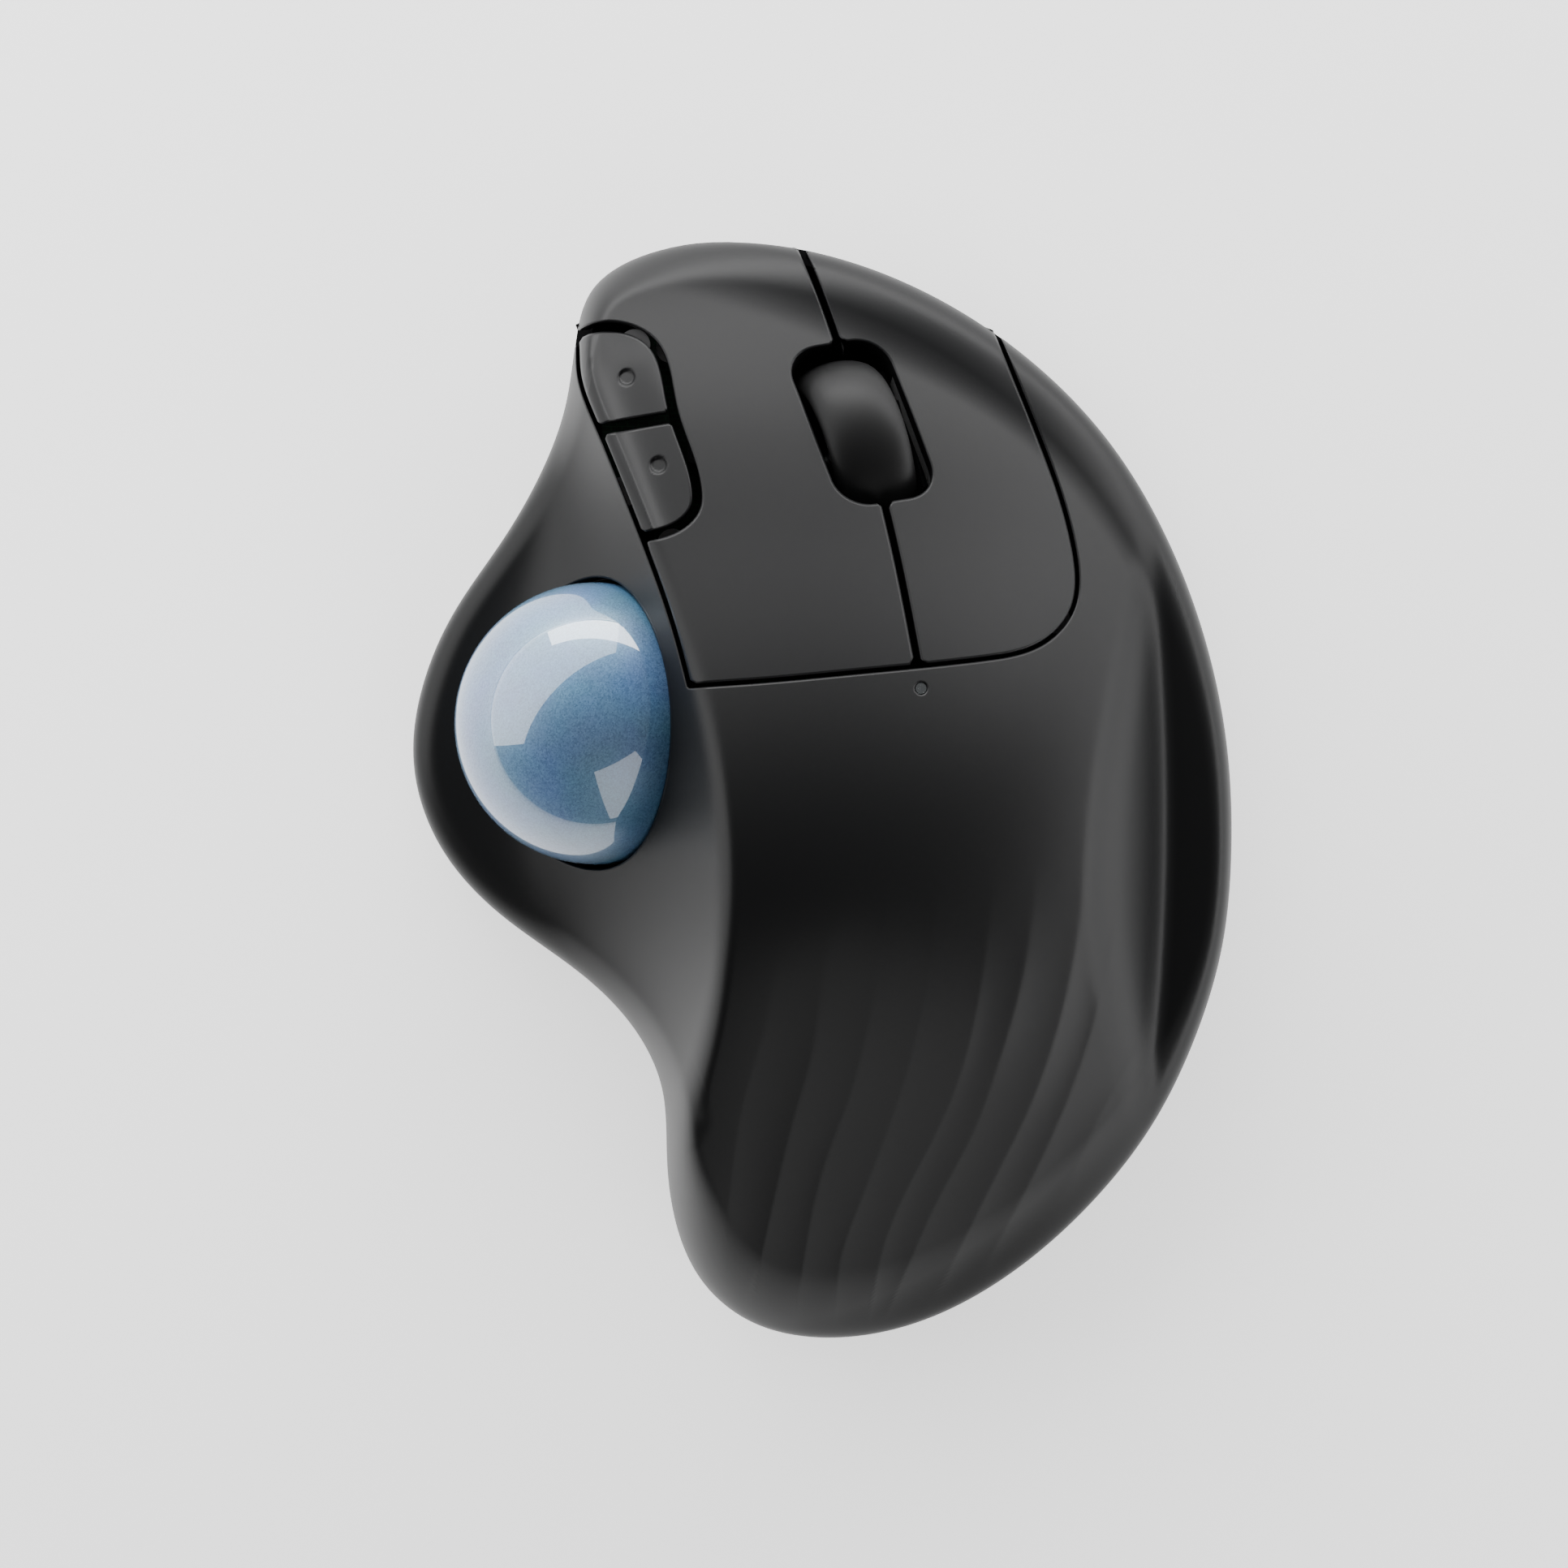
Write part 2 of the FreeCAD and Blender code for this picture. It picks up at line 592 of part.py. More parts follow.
def build_base_shell():
    """Tray under the seam, with posts for the screws, the receiver's bay and the holes underneath."""
    low = dim("base_height")
    floor = low + dim("floor")
    top = dim("seam_height") - dim("seam_gap")
    tuck = dim("base_tuck")
    wall = dim("wall")
    outer = base_loft([(low, tuck), (low + 1.6, 0.45 * tuck), (low + 4, 0.12 * tuck), (top, 0.01)])
    inner = base_loft([(floor, tuck + 1.4), (floor + 2.4, 0.12 * tuck + wall), (top + 1, wall)])
    middle = [(x, y, dim("post_radius") + 0.6, dim("post_top")) for x, y in CASE_SCREWS]
    middle += [(x, y, 2.6, dim("ear_height")) for x, y in ear_places()]
    middle += [(x, y, 2.2, dim("board_low")) for x, y in BOARD_SCREWS]
    posts = [upright_rod((x, y), radius, low, high) for x, y, radius, high in middle]
    body_zone = base_loft([(low, tuck), (low + 4, 0.12 * tuck), (top, 0.01), (top + 3, 0.01)])
    posts = Part.makeCompound(posts).common(body_zone).Solids
    collar = upright_rod((dim("ball_x"), dim("ball_y")), dim("push_hole_radius") + 1.4, low, floor + 1.0)
    shape = united([outer.cut(inner), collar] + posts + [receiver_bay()])
    holes = [upright_rod((dim("ball_x"), dim("ball_y")), dim("push_hole_radius"), 0, 9)]
    for point in CASE_SCREWS:
        holes.append(upright_rod(point, dim("screw_radius") + 0.2, 0, dim("post_top") + 1))
        holes.append(upright_rod(point, dim("screw_head_radius") + 0.2, 0, 3.1))
    for point in CASE_SCREWS + [FRONT_FOOT]:
        holes.append(upright_rod(point, dim("foot_radius") + 0.1, 0, low + dim("foot_recess")))
    holes += [upright_rod(point, dim("screw_radius"), 3.4, 12) for point in ear_places() + BOARD_SCREWS]
    holes.append(receiver_hollow())
    holes.append(door_opening())
    slot = dim("power_travel") + 4.6
    x, y = dim("power_x"), dim("power_y")
    holes.append(block((x - slot / 2, y - 1.75, 0), (x + slot / 2, y + 1.75, floor + 1)))
    connect_hole = dim("connect_radius") + 0.15
    holes.append(upright_rod((dim("connect_x"), dim("connect_y")), connect_hole, 0, floor + 1))
    node("base_shell", feature("BaseShell", shape.cut(Part.makeCompound(holes))))


def ear_places():
    reach = 19.5
    angles = [math.radians(angle) for angle in EAR_ANGLES]
    return [(dim("ball_x") + reach * math.cos(a), dim("ball_y") + reach * math.sin(a)) for a in angles]


def receiver_half(extra):
    return (dim("receiver_wide") / 2 + extra, dim("receiver_deep") / 2 + extra)


def receiver_bay():
    half_x, half_y = receiver_half(1.2)
    x, y = dim("receiver_x"), dim("receiver_y")
    top = dim("base_height") + dim("receiver_high") + 1.5
    return block((x - half_x, y - half_y, dim("base_height")), (x + half_x, y + half_y, top))


def receiver_hollow():
    half_x, half_y = receiver_half(dim("receiver_play"))
    x, y = dim("receiver_x"), dim("receiver_y")
    top = dim("base_height") + dim("receiver_high") + 0.3
    return block((x - half_x, y - half_y, 0), (x + half_x, y + half_y, top))


def door_half(extra):
    wide = dim("battery_radius") + dim("tray_play") + extra
    deep = dim("battery_length") / 2 + dim("contact_room") + extra
    return wide, deep


def door_opening():
    half_x, half_y = door_half(0)
    x, y = dim("battery_x"), dim("battery_y")
    return block((x - half_x, y - half_y, 0), (x + half_x, y + half_y, dim("base_height") + dim("floor") + 2))


# ---------------------------------------------------------------- ball, cup, sensor
def build_ball_group():
    ball = primitive("Sphere", "Ball", ("ball_x", "ball_y", "ball_z"), Radius="ball_radius")
    node("ball", ball)
    centre = ball_centre()
    inner = dim("ball_radius") + dim("ball_gap")
    outer = inner + dim("cup_wall")
    cup = new_body("BallCup", ("ball_x", "ball_y", "ball_z"), Rotation(Vector(0, 1, 0), -dim("cup_tilt")))
    sketch = new_sketch(cup, "XZ_Plane")
    mouth = math.radians(90 - dim("mouth_angle"))
    arcs = []
    for radius in (inner, outer):
        circle = Part.Circle(Vector(), Vector(0, 0, 1), radius)
        arcs.append(sketch.addGeometry(Part.ArcOfCircle(circle, -math.pi / 2, mouth)))
    for arc, size in zip(arcs, ("ball_radius + ball_gap", "ball_radius + ball_gap + cup_wall")):
        index = sketch.addConstraint(Sketcher.Constraint("Radius", arc, value_of(size)))
        sketch.setExpression("Constraints[%d]" % index, bound(size))
        sketch.addConstraint(Sketcher.Constraint("Coincident", arc, 3, -1, 1))
    for end in (0, 1):
        angle = (-math.pi / 2, mouth)[end]
        ray = Vector(math.cos(angle), math.sin(angle), 0)
        line = sketch.addGeometry(Part.LineSegment(ray * inner, ray * outer))
        sketch.addConstraint(Sketcher.Constraint("Coincident", line, 1, arcs[0], end + 1))
        sketch.addConstraint(Sketcher.Constraint("Coincident", line, 2, arcs[1], end + 1))
    revolve(cup, "Revolution", sketch)
    document.recompute()
    ears = []
    for angle, (x, y) in zip(EAR_ANGLES, ear_places()):
        low = dim("ear_height")
        ears.append(upright_rod((x, y), dim("ear_radius"), low, low + dim("ear_thickness")))
        web = Part.makeBox(9.5, 3, dim("ear_thickness"), Vector(-8, -1.5, 0))
        web.Placement = FreeCAD.Placement(Vector(x, y, low), Rotation(Vector(0, 0, 1), angle))
        ears.append(web)
    beads, seats, bosses = [], [], []
    for around in (60, 180, 300):
        way = ball_direction(dim("bead_angle"), around)
        middle = centre + way * (dim("ball_radius") + dim("bead_radius") + 0.03)
        beads.append(Part.makeSphere(dim("bead_radius"), middle))
        seats.append(Part.makeCylinder(dim("bead_radius"), 4.2, centre + way * 16, way))
        bosses.append(Part.makeCylinder(2.4, 2.6, centre + way * (outer - 1), way))
    node("bearing_beads", feature("BearingBeads", Part.makeCompound(beads)))
    way = ball_direction(dim("sensor_angle"), 0)
    window = Part.makeCylinder(dim("sensor_window"), 8, centre + way * 15, way)
    push = upright_rod((centre.x, centre.y), dim("push_hole_radius"), 0, 9)
    holes = [upright_rod(point, dim("screw_radius") + 0.15, 0, 20) for point in ear_places()]
    over = block((-60, -60, dim("seam_height")), (60, 60, 70)).cut(clear_zone)
    inside = Part.makeSphere(inner, centre)
    cuts = Part.makeCompound([inside, window, push, over] + holes + seats)
    shape = united([cup.Shape] + ears + bosses).cut(cuts)
    shape = max(shape.Solids, key=lambda solid: solid.Volume)
    node("ball_cup", feature("BallCupMoulding", shape))
    turn = Rotation(Vector(0, 0, 1), way)
    base = centre + way * (dim("ball_radius") + 0.5)
    lens = Part.makeCylinder(dim("sensor_window") - 0.3, 2.4, base, way)
    flange = block((-5, -4.5, 0), (5, 4.5, 1))
    flange.Placement = FreeCAD.Placement(base + way * 2.2, turn)
    node("sensor_lens", feature("SensorLens", united([lens, flange])))
    chip = block((-4.5, -4, 0), (4.5, 4, 2.2))
    chip.Placement = FreeCAD.Placement(base + way * 3.2, turn)
    node("motion_sensor", feature("MotionSensor", chip))
    board = document.addObject("PartDesign::Body", "SensorBoard")
    extrude(board, "Pad", rectangle_sketch(board, "XY_Plane", 15, 15), "board_thickness")
    soften(board, "Fillet", upright, 1.5)
    board.Placement = FreeCAD.Placement(base + way * 5.4, turn)
    node("sensor_board", board)


# ---------------------------------------------------------------- wheel
def wheel_body(name, along=0):
    """A body whose own Z runs along the wheel's spin axis."""
    spin = wheel_turn().multiply(Rotation(Vector(0, 1, 0), 90))
    body = document.addObject("PartDesign::Body", name)
    body.Placement = FreeCAD.Placement(wheel_frame().multVec(Vector(along, 0, 0)), spin)
    return body


def build_wheel_group():
    hub = wheel_body("WheelHub")
    pad = extrude(hub, "Pad", circle_sketch(hub, "XY_Plane", "rim_radius"), "rim_width")
    pad.Midplane = True
    bore = extrude(hub, "Pocket", circle_sketch(hub, "XY_Plane", "axle_radius", 10), 20)
    web = extrude(hub, "Pocket", circle_sketch(hub, "XY_Plane", 1.5, 10, ((0, 5.6),)), 20)
    pattern = hub.newObject("PartDesign::PolarPattern", "WheelHub_spokes")
    pattern.Originals = [web]
    pattern.Axis = (bore.Profile[0], ["N_Axis"])
    pattern.Angle = 360
    pattern.Occurrences = 6
    hub.Tip = pattern
    node("wheel_hub", hub)
    tyre = wheel_body("WheelTyre")
    half = "wheel_width / 2"
    crown = [("wheel_radius - 2.1", half), ("wheel_radius - 1.5", "wheel_width / 2 - 0.4"),
             ("wheel_radius - 0.9", "wheel_width / 2 - 1.1"), ("wheel_radius - 0.4", "wheel_width / 2 - 2.1"),
             ("wheel_radius - 0.1", "wheel_width / 2 - 3.4"), ("wheel_radius", 0)]
    mirror = [(r, "-(%s)" % z) for r, z in reversed(crown[:-1])]
    inner = [("rim_radius", "-(%s)" % half), ("rim_radius", half)]
    revolve(tyre, "Revolution", polygon_sketch(tyre, "XZ_Plane", crown + mirror + inner))
    node("wheel_tyre", tyre)
    axle = wheel_body("WheelAxle")
    shaft = extrude(axle, "Pad", circle_sketch(axle, "XY_Plane", "axle_radius"), "axle_length")
    shaft.Midplane = True
    node("wheel_axle", axle)
    frame = wheel_frame()
    inside = dim("wheel_width") / 2 + dim("arm_gap")
    outside = inside + dim("arm_thickness")
    back = -dim("pivot_back")
    arms = [block((-outside, back - 2.4, -3), (-inside, 5.5, 3)),
            block((inside, back - 2.4, -3), (outside, 5.5, 3)),
            block((inside, 4.5, -3), (outside, 9.5, 0)),
            block((-outside - 4.3, 0.5, -3), (-inside, 5.5, -1.5))]
    bridge = block((-outside, back - 2.4, -3), (outside, back + 1.6, 3))
    pins = [Part.makeCylinder(1.5, 2 * outside + 5, Vector(-outside - 2.5, back, 0), Vector(1, 0, 0))]
    bore = Part.makeCylinder(dim("axle_radius") + dim("axle_play"), 40, Vector(-20, 0, 0), Vector(1, 0, 0))
    carrier = united(arms + [bridge] + pins).cut(bore)
    carrier.Placement = frame
    node("wheel_carrier", feature("WheelCarrier", carrier))
    encoder = block((outside, -5.5, -6), (outside + 4.2, 3.8, 3.2)).cut(bore)
    encoder.Placement = frame
    node("wheel_encoder", feature("WheelEncoder", encoder))
    lugs = [block((side, back - 2.4, -20), (side + 1.8, back + 3.2, 3.2))
            for side in (-outside - 2.3, outside + 0.5)]
    hole = Part.makeCylinder(1.5 + dim("axle_play"), 40, Vector(-20, back, 0), Vector(1, 0, 0))
    cradle = united(lugs).cut(hole)
    cradle.Placement = frame
    floor = dim("base_height") + dim("floor")
    cradle = cradle.common(block((-12, 16, floor), (20, 40, 30)))
    plate = block((-9.4, 22.6, floor), (17, 30, floor + 1.6))
    strip = block((-9.4, 29, floor), (-5.6, 43.2, floor + 1.2))
    riser = block((-9.4, 38.4, floor), (-5.6, 43.2, dim("riser_top")))
    node("wheel_cradle", feature("WheelCradle", united([cradle, plate, strip, riser])))


# ---------------------------------------------------------------- boards and switches
def build_boards():
    main = new_body("MainBoard", (0, 0, "board_low"))
    corners = [(2, 11), (31, 11), (28.5, 30), (26.5, 40), (21, 48), (16.8, 50), (16.8, 20.3), (-9.8, 20.3),
               (-9.8, 56), (-20.6, 56), (-20.6, 25.5), (-15.5, 16.4), (2, 16.4)]
    extrude(main, "Pad", polygon_sketch(main, "XY_Plane", corners), "board_thickness")
    holes = circle_sketch(main, "XY_Plane", "screw_radius + 0.2", "board_thickness", BOARD_SCREWS)
    extrude(main, "Pocket", holes, 10)
    node("main_board", main)
    upper = new_body("SideButtonBoard", (0, 0, "upper_board_low"))
    corners = [(-26.8, 52), (-25.2, 55.2), (-20.6, 55.2), (-16.8, 36), (-16.8, 33), (-26.8, 33)]
    extrude(upper, "Pad", polygon_sketch(upper, "XY_Plane", corners), "board_thickness")
    holes = circle_sketch(upper, "XY_Plane", "screw_radius + 0.2", "board_thickness", UPPER_BOARD_SCREWS)
    extrude(upper, "Pocket", holes, 10)
    node("side_button_board", upper)
    stands = []
    floor = dim("base_height") + dim("floor")
    for x, y in UPPER_BOARD_SCREWS:
        stand = upright_rod((x, y), 1.9, floor, dim("upper_board_low"))
        stands.append(stand.cut(upright_rod((x, y), dim("screw_radius"), floor + 2, 20)))
    node("board_stands", feature("BoardStands", Part.makeCompound(stands)))
    pins = [box("HeaderPin%d" % i, (-19.2, 41.2 + 1.27 * i, "board_low + board_thickness"),
                (0.5, 0.5, "upper_board_low - board_low - board_thickness")) for i in range(5)]
    node("board_header", fuse("BoardHeader", *pins))


def build_microswitch(name, place_at, turn=0):
    """Snap switch: moulded case with bevelled edges and its small plunger."""
    x, y = place_at
    switch = new_body(name, (x, y, "board_low + board_thickness"), Rotation(Vector(0, 0, 1), turn))
    extrude(switch, "Pad", rectangle_sketch(switch, "XY_Plane", "switch_wide", "switch_long"), "switch_high")
    soften(switch, "Chamfer", upright, 0.4)
    top = rectangle_sketch(switch, "XY_Plane", 2.9, 1.2, "switch_high")
    extrude(switch, "Pad", top, "plunger_high")
    return switch


def build_tact(name, at, high, upside_down=False, size="tact_size"):
    """Small push switch: square case with a round actuator."""
    turn = Rotation(Vector(1, 0, 0), 180) if upside_down else Rotation()
    tact = new_body(name, at, turn)
    extrude(tact, "Pad", rectangle_sketch(tact, "XY_Plane", size, size), high)
    extrude(tact, "Pad", circle_sketch(tact, "XY_Plane", 1.6, high), 0.4)
    return tact


def build_switches():
    for side, spot in PLUNGERS.items():
        node(side + "_microswitch", build_microswitch(side.capitalize() + "Microswitch", spot))
    for side, spot in SIDE_PLUNGERS.items():
        at = (spot[0], spot[1], "upper_board_low + board_thickness")
        name = side.capitalize() + "TactSwitch"
        node(side + "_tact_switch", build_tact(name, at, "tact_high - 0.4", size=4.5))
    middle = build_tact("MiddleTactSwitch", (*MIDDLE_SWITCH, "riser_top"), 3.1, size=4.5)
    node("middle_tact_switch", middle)
    connect = build_tact("ConnectTactSwitch", ("connect_x", "connect_y", "board_low"), 3.1, upside_down=True)
    node("connect_tact_switch", connect)


# ---------------------------------------------------------------- battery and what holds it
def build_battery_group():
    along = Rotation(Vector(1, 0, 0), -90)
    half = "battery_length / 2"
    cell = new_body("BatteryCell", ("battery_x", "battery_y", "battery_z"), along)
    profile = [(0, "-(%s)" % half), (5, "-(%s)" % half), ("battery_radius - 0.6", "-(%s) + 0.5" % half),
               ("battery_radius", "-(%s) + 1.2" % half), ("battery_radius", "%s - 2.2" % half),
               ("battery_radius - 0.8", "%s - 1.3" % half), (2.7, "%s - 1.1" % half), (2.6, "%s - 0.2" % half),
               (2.2, half), (0, half)]
    revolve(cell, "Revolution", polygon_sketch(cell, "XZ_Plane", profile))
    node("battery", cell)
    long = "battery_length + 2 * contact_room"
    hollow = "battery_radius + tray_play"
    back = "battery_y - battery_length / 2 - contact_room"
    floor = "base_height + floor"
    arch = rod("TrayArch", ("battery_x", "%s - tray_wall" % back, "battery_z"), "%s + tray_wall" % hollow,
               "%s + 2 * tray_wall" % long, along)
    sides = box("TraySides", ("battery_x", "battery_y", floor),
                ("2 * (%s + tray_wall)" % hollow, "%s + 2 * tray_wall" % long, "battery_z - (%s)" % floor))
    under = box("TrayUnder", ("battery_x", "battery_y", -10), (60, 90, "10 + %s" % floor))
    bore = rod("TrayBore", ("battery_x", back, "battery_z"), hollow, long, along)
    mouth = box("TrayMouth", ("battery_x", "battery_y", 0), ("2 * (%s)" % hollow, long, "battery_z"))
    block_shape = fuse("TrayBlock", arch, sides)
    node("battery_tray", cut("BatteryTray", block_shape, under, fuse("TrayHollow", bore, mouth)))
    x, y, z = dim("battery_x"), dim("battery_y"), dim("battery_z")
    reach = dim("battery_length") / 2
    helix = Part.makeLongHelix(0.8, 2.3, 4.0, 12.0)
    wire_at = Part.Wire(Part.makeCircle(0.28, Vector(4.0, 0, 0), Vector(0, 1, 0)))
    coil = Part.Wire(helix.Edges).makePipeShell([wire_at], True, True)
    coil.Placement = FreeCAD.Placement(Vector(x, y - reach - 0.33, z), Rotation(Vector(1, 0, 0), 90))
    node("battery_spring", feature("BatterySpring", coil))
    contact_y = "battery_y + battery_length / 2 + contact_room - 0.55"
    plate = box("ContactPlate", ("battery_x", contact_y, "battery_z - 4"),
                (9, 0.5, 8))
    dimple = rod("ContactDimple", ("battery_x", "battery_y + battery_length / 2 + 0.05", "battery_z"), 1.8,
                 "contact_room - 0.5", along)
    node("battery_contact", fuse("BatteryContact", plate, dimple))
    door = new_body("BatteryDoor", ("battery_x", "battery_y", "base_height"))
    wide = "2 * (battery_radius + tray_play - door_play)"
    deep = "battery_length + 2 * (contact_room - door_play)"
    extrude(door, "Pad", rectangle_sketch(door, "XY_Plane", wide, deep), "floor")
    soften(door, "Fillet", upright, 1.2)
    grip = rectangle_sketch(door, "XY_Plane", 8, 0.8, 0, (0, "-(%s) / 2 + 5" % deep))
    groove = extrude(door, "Pocket", grip, 0.5, reverse=True)
    pattern = door.newObject("PartDesign::LinearPattern", "BatteryDoor_grip")
    pattern.Originals = [groove]
    pattern.Direction = (grip, ["V_Axis"])
    pattern.Length = 4.5
    pattern.Occurrences = 4
    door.Tip = pattern
    node("battery_door", door)


# ---------------------------------------------------------------- receiver, slide switch, connect button
def build_underside_group():
    floor_top = "base_height + floor"
    plug = new_body("UsbReceiver", ("receiver_x", "receiver_y", "base_height + 0.1"))
    extrude(plug, "Pad", rectangle_sketch(plug, "XY_Plane", "receiver_wide", "receiver_deep"), 6.8)
    soften(plug, "Fillet", upright, 1.5)
    tongue = rectangle_sketch(plug, "XY_Plane", 12, 4.5, 6.8)
    extrude(plug, "Pad", tongue, "receiver_high - 6.8")
    node("usb_receiver", plug)
    knob = box("PowerKnobCap", ("power_x - power_travel / 2", "power_y", "base_height - 0.3"),
               (4.2, 3.2, "floor + 0.5"))
    knob_x = "power_x - power_travel / 2"
    flange = box("PowerKnobFlange", (knob_x, "power_y", "%s + 0.15" % floor_top), (8, 5, 0.8))
    stem = box("PowerKnobStem", ("power_x - power_travel / 2", "power_y", floor_top), (1.5, 1.5, 1.4))
    node("power_switch_knob", fuse("PowerKnob", knob, flange, stem))
    case = box("PowerSwitchCase", ("power_x", "power_y", "%s + 1.5" % floor_top),
               (11, 4.4, "board_low - (%s) - 1.5" % floor_top))
    node("power_switch_body", case)
    cap = rod("ConnectCap", ("connect_x", "connect_y", "base_height - 0.1"), "connect_radius", "floor + 0.3")
    rim = rod("ConnectRim", ("connect_x", "connect_y", "%s + 0.12" % floor_top), "connect_radius + 0.8", 0.6)
    node("connect_button", fuse("ConnectButton", cap, rim))


# ---------------------------------------------------------------- fasteners, feet, lamp
def screw_shape(point, head, low, high):
    """Pan-head screw that points up: its head is at the bottom."""
    radius = dim("screw_radius")
    shaft = upright_rod(point, radius, low, high - radius)
    tip = Part.makeCone(radius, 0.2, radius, Vector(point[0], point[1], high - radius))
    return united([shaft, tip, upright_rod(point, head, low - 1.3, low)])


def screw_down(point, head, under, long):
    """Pan-head screw that points down, with its head resting at the height under."""
    radius = dim("screw_radius")
    shaft = upright_rod(point, radius, under - long + radius, under)
    tip = Part.makeCone(0.2, radius, radius, Vector(point[0], point[1], under - long))
    return united([shaft, tip, upright_rod(point, head, under, under + 1.2)])


def build_fasteners():
    head = dim("screw_head_radius")
    case = [screw_shape(point, head, 3.1, 12.0) for point in CASE_SCREWS]
    node("case_screws", feature("CaseScrews", Part.makeCompound(case)))
    ear_top = dim("ear_height") + dim("ear_thickness")
    cup = [screw_down(point, 1.9, ear_top, 5.2) for point in ear_places()]
    node("cup_screws", feature("CupScrews", Part.makeCompound(cup)))
    board_top = dim("board_low") + dim("board_thickness")
    upper_top = dim("upper_board_low") + dim("board_thickness")
    board = [screw_down(point, 1.9, board_top, 5) for point in BOARD_SCREWS]
    board += [screw_down(point, 1.9, upper_top, 6) for point in UPPER_BOARD_SCREWS]
    node("board_screws", feature("BoardScrews", Part.makeCompound(board)))
    feet = [rod("Foot%d" % i, (x, y, 0), "foot_radius", "foot_thickness")
            for i, (x, y) in enumerate(CASE_SCREWS + [FRONT_FOOT])]
    node("rubber_feet", fuse("RubberFeet", *feet))
    board_face = "board_low + board_thickness"
    lamp = box("StatusLamp", ("light_x", "light_y", board_face), (1.6, 0.8, 0.6))
    node("status_lamp", lamp)
    pipe_foot = value_of(board_face) + 1.0
    pipe = upright_rod((dim("light_x"), dim("light_y")), dim("light_radius") - 0.05, pipe_foot, 60)
    pipe = pipe.common(united([block((0, 0, 0), (30, 30, 20)), light_top()]))
    node("status_light_pipe", feature("StatusLightPipe", pipe))


def light_top():
    top = skin.copy()
    top.translate(Vector(0, 0, -0.1))
    return top


def build_carrier_spring():
    """Coil under the carrier that lifts the wheel back after a click."""
    floor = dim("base_height") + dim("floor")
    long = 6.8
    helix = Part.makeLongHelix(1.3, long, 1.8)
    wire_at = Part.Wire(Part.makeCircle(0.22, Vector(1.8, 0, 0), Vector(0, 1, 0)))
    coil = Part.Wire(helix.Edges).makePipeShell([wire_at], True, True)
    coil.Placement = FreeCAD.Placement(Vector(7.4, 48.6, floor + 0.24), Rotation())
    node("wheel_return_spring", feature("WheelReturnSpring", coil))


def build_all():
    build_ball_group()
    build_wheel_group()
    shells = cut_skin()
    build_top_cover(shells)
    build_button("left", shells, (-8, 30, 32), PLUNGERS["left"], (-11, 5))
    build_button("right", shells, (20, 30, 26), PLUNGERS["right"], (13, 21))
    build_side_button("forward", shells, (-23, 50, 22), SIDE_PLUNGERS["forward"])
    build_side_button("back", shells, (-20, 38, 29), SIDE_PLUNGERS["back"])
    build_base_shell()
    build_boards()
    build_switches()
    build_battery_group()
    build_underside_group()
    build_fasteners()
    build_carrier_spring()


full_outline = Outline(OUTLINE)
skin = dome(0)
cavity = dome(dim("wall"))
trim = dome(dim("trim_depth"))
clear_zone = dome(dim("wall") + 0.2)
tab_top = dome(dim("wall") + 0.5)
tab_floor = dome(dim("wall") + 1.9)
build_all()

document.recompute()
for item in document.Objects:
    if "Invalid" in item.State or "Error" in item.State:
        raise RuntimeError("%s failed: %s" % (item.Label, item.State))
os.makedirs("parts", exist_ok=True)
for item in nodes:
    if item.Shape.isNull() or not item.Shape.isValid():
        raise RuntimeError("%s has no valid shape" % item.Label)
    item.Shape.exportStep("parts/%s.step" % item.Label)
    print("%-22s %2d solids %10.1f mm3" % (item.Label, len(item.Shape.Solids), item.Shape.Volume))
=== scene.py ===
"""Looks of the thumb trackball mouse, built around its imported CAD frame.

The housing's outer panels are one sculpted height surface, cut along the seams into separate shells with
rounded edges and a real thickness. Lengths are millimetres up to add_mesh, which turns them into metres; the
materials and the stage are in metres. Frame: +Z up, +Y towards the fingertips, -X on the thumb side where the
ball sits.
"""
import math

import bpy
import numpy as np
from mathutils import Matrix, Vector
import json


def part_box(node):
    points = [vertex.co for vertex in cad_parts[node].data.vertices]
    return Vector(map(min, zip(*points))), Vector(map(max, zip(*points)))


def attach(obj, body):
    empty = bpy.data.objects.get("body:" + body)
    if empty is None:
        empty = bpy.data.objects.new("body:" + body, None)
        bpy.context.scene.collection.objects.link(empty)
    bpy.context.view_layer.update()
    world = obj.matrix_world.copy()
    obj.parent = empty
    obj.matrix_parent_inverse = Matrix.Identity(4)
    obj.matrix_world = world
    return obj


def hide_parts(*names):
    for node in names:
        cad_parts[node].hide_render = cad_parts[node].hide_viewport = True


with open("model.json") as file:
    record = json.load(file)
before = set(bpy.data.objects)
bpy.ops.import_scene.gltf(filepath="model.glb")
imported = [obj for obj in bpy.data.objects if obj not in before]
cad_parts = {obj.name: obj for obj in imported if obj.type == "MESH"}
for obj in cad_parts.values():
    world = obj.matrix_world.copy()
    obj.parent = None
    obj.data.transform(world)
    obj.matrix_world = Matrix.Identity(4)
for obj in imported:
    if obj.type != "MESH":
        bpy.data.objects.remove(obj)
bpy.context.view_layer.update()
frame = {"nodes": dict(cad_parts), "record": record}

MM = 0.001
# Least length to divide by.
TINY = 1e-12

# ---------------------------------------------------------------- the housing in plan
# Height of the seam between the base shell and the panels over it.
SEAM_Z = 9.0
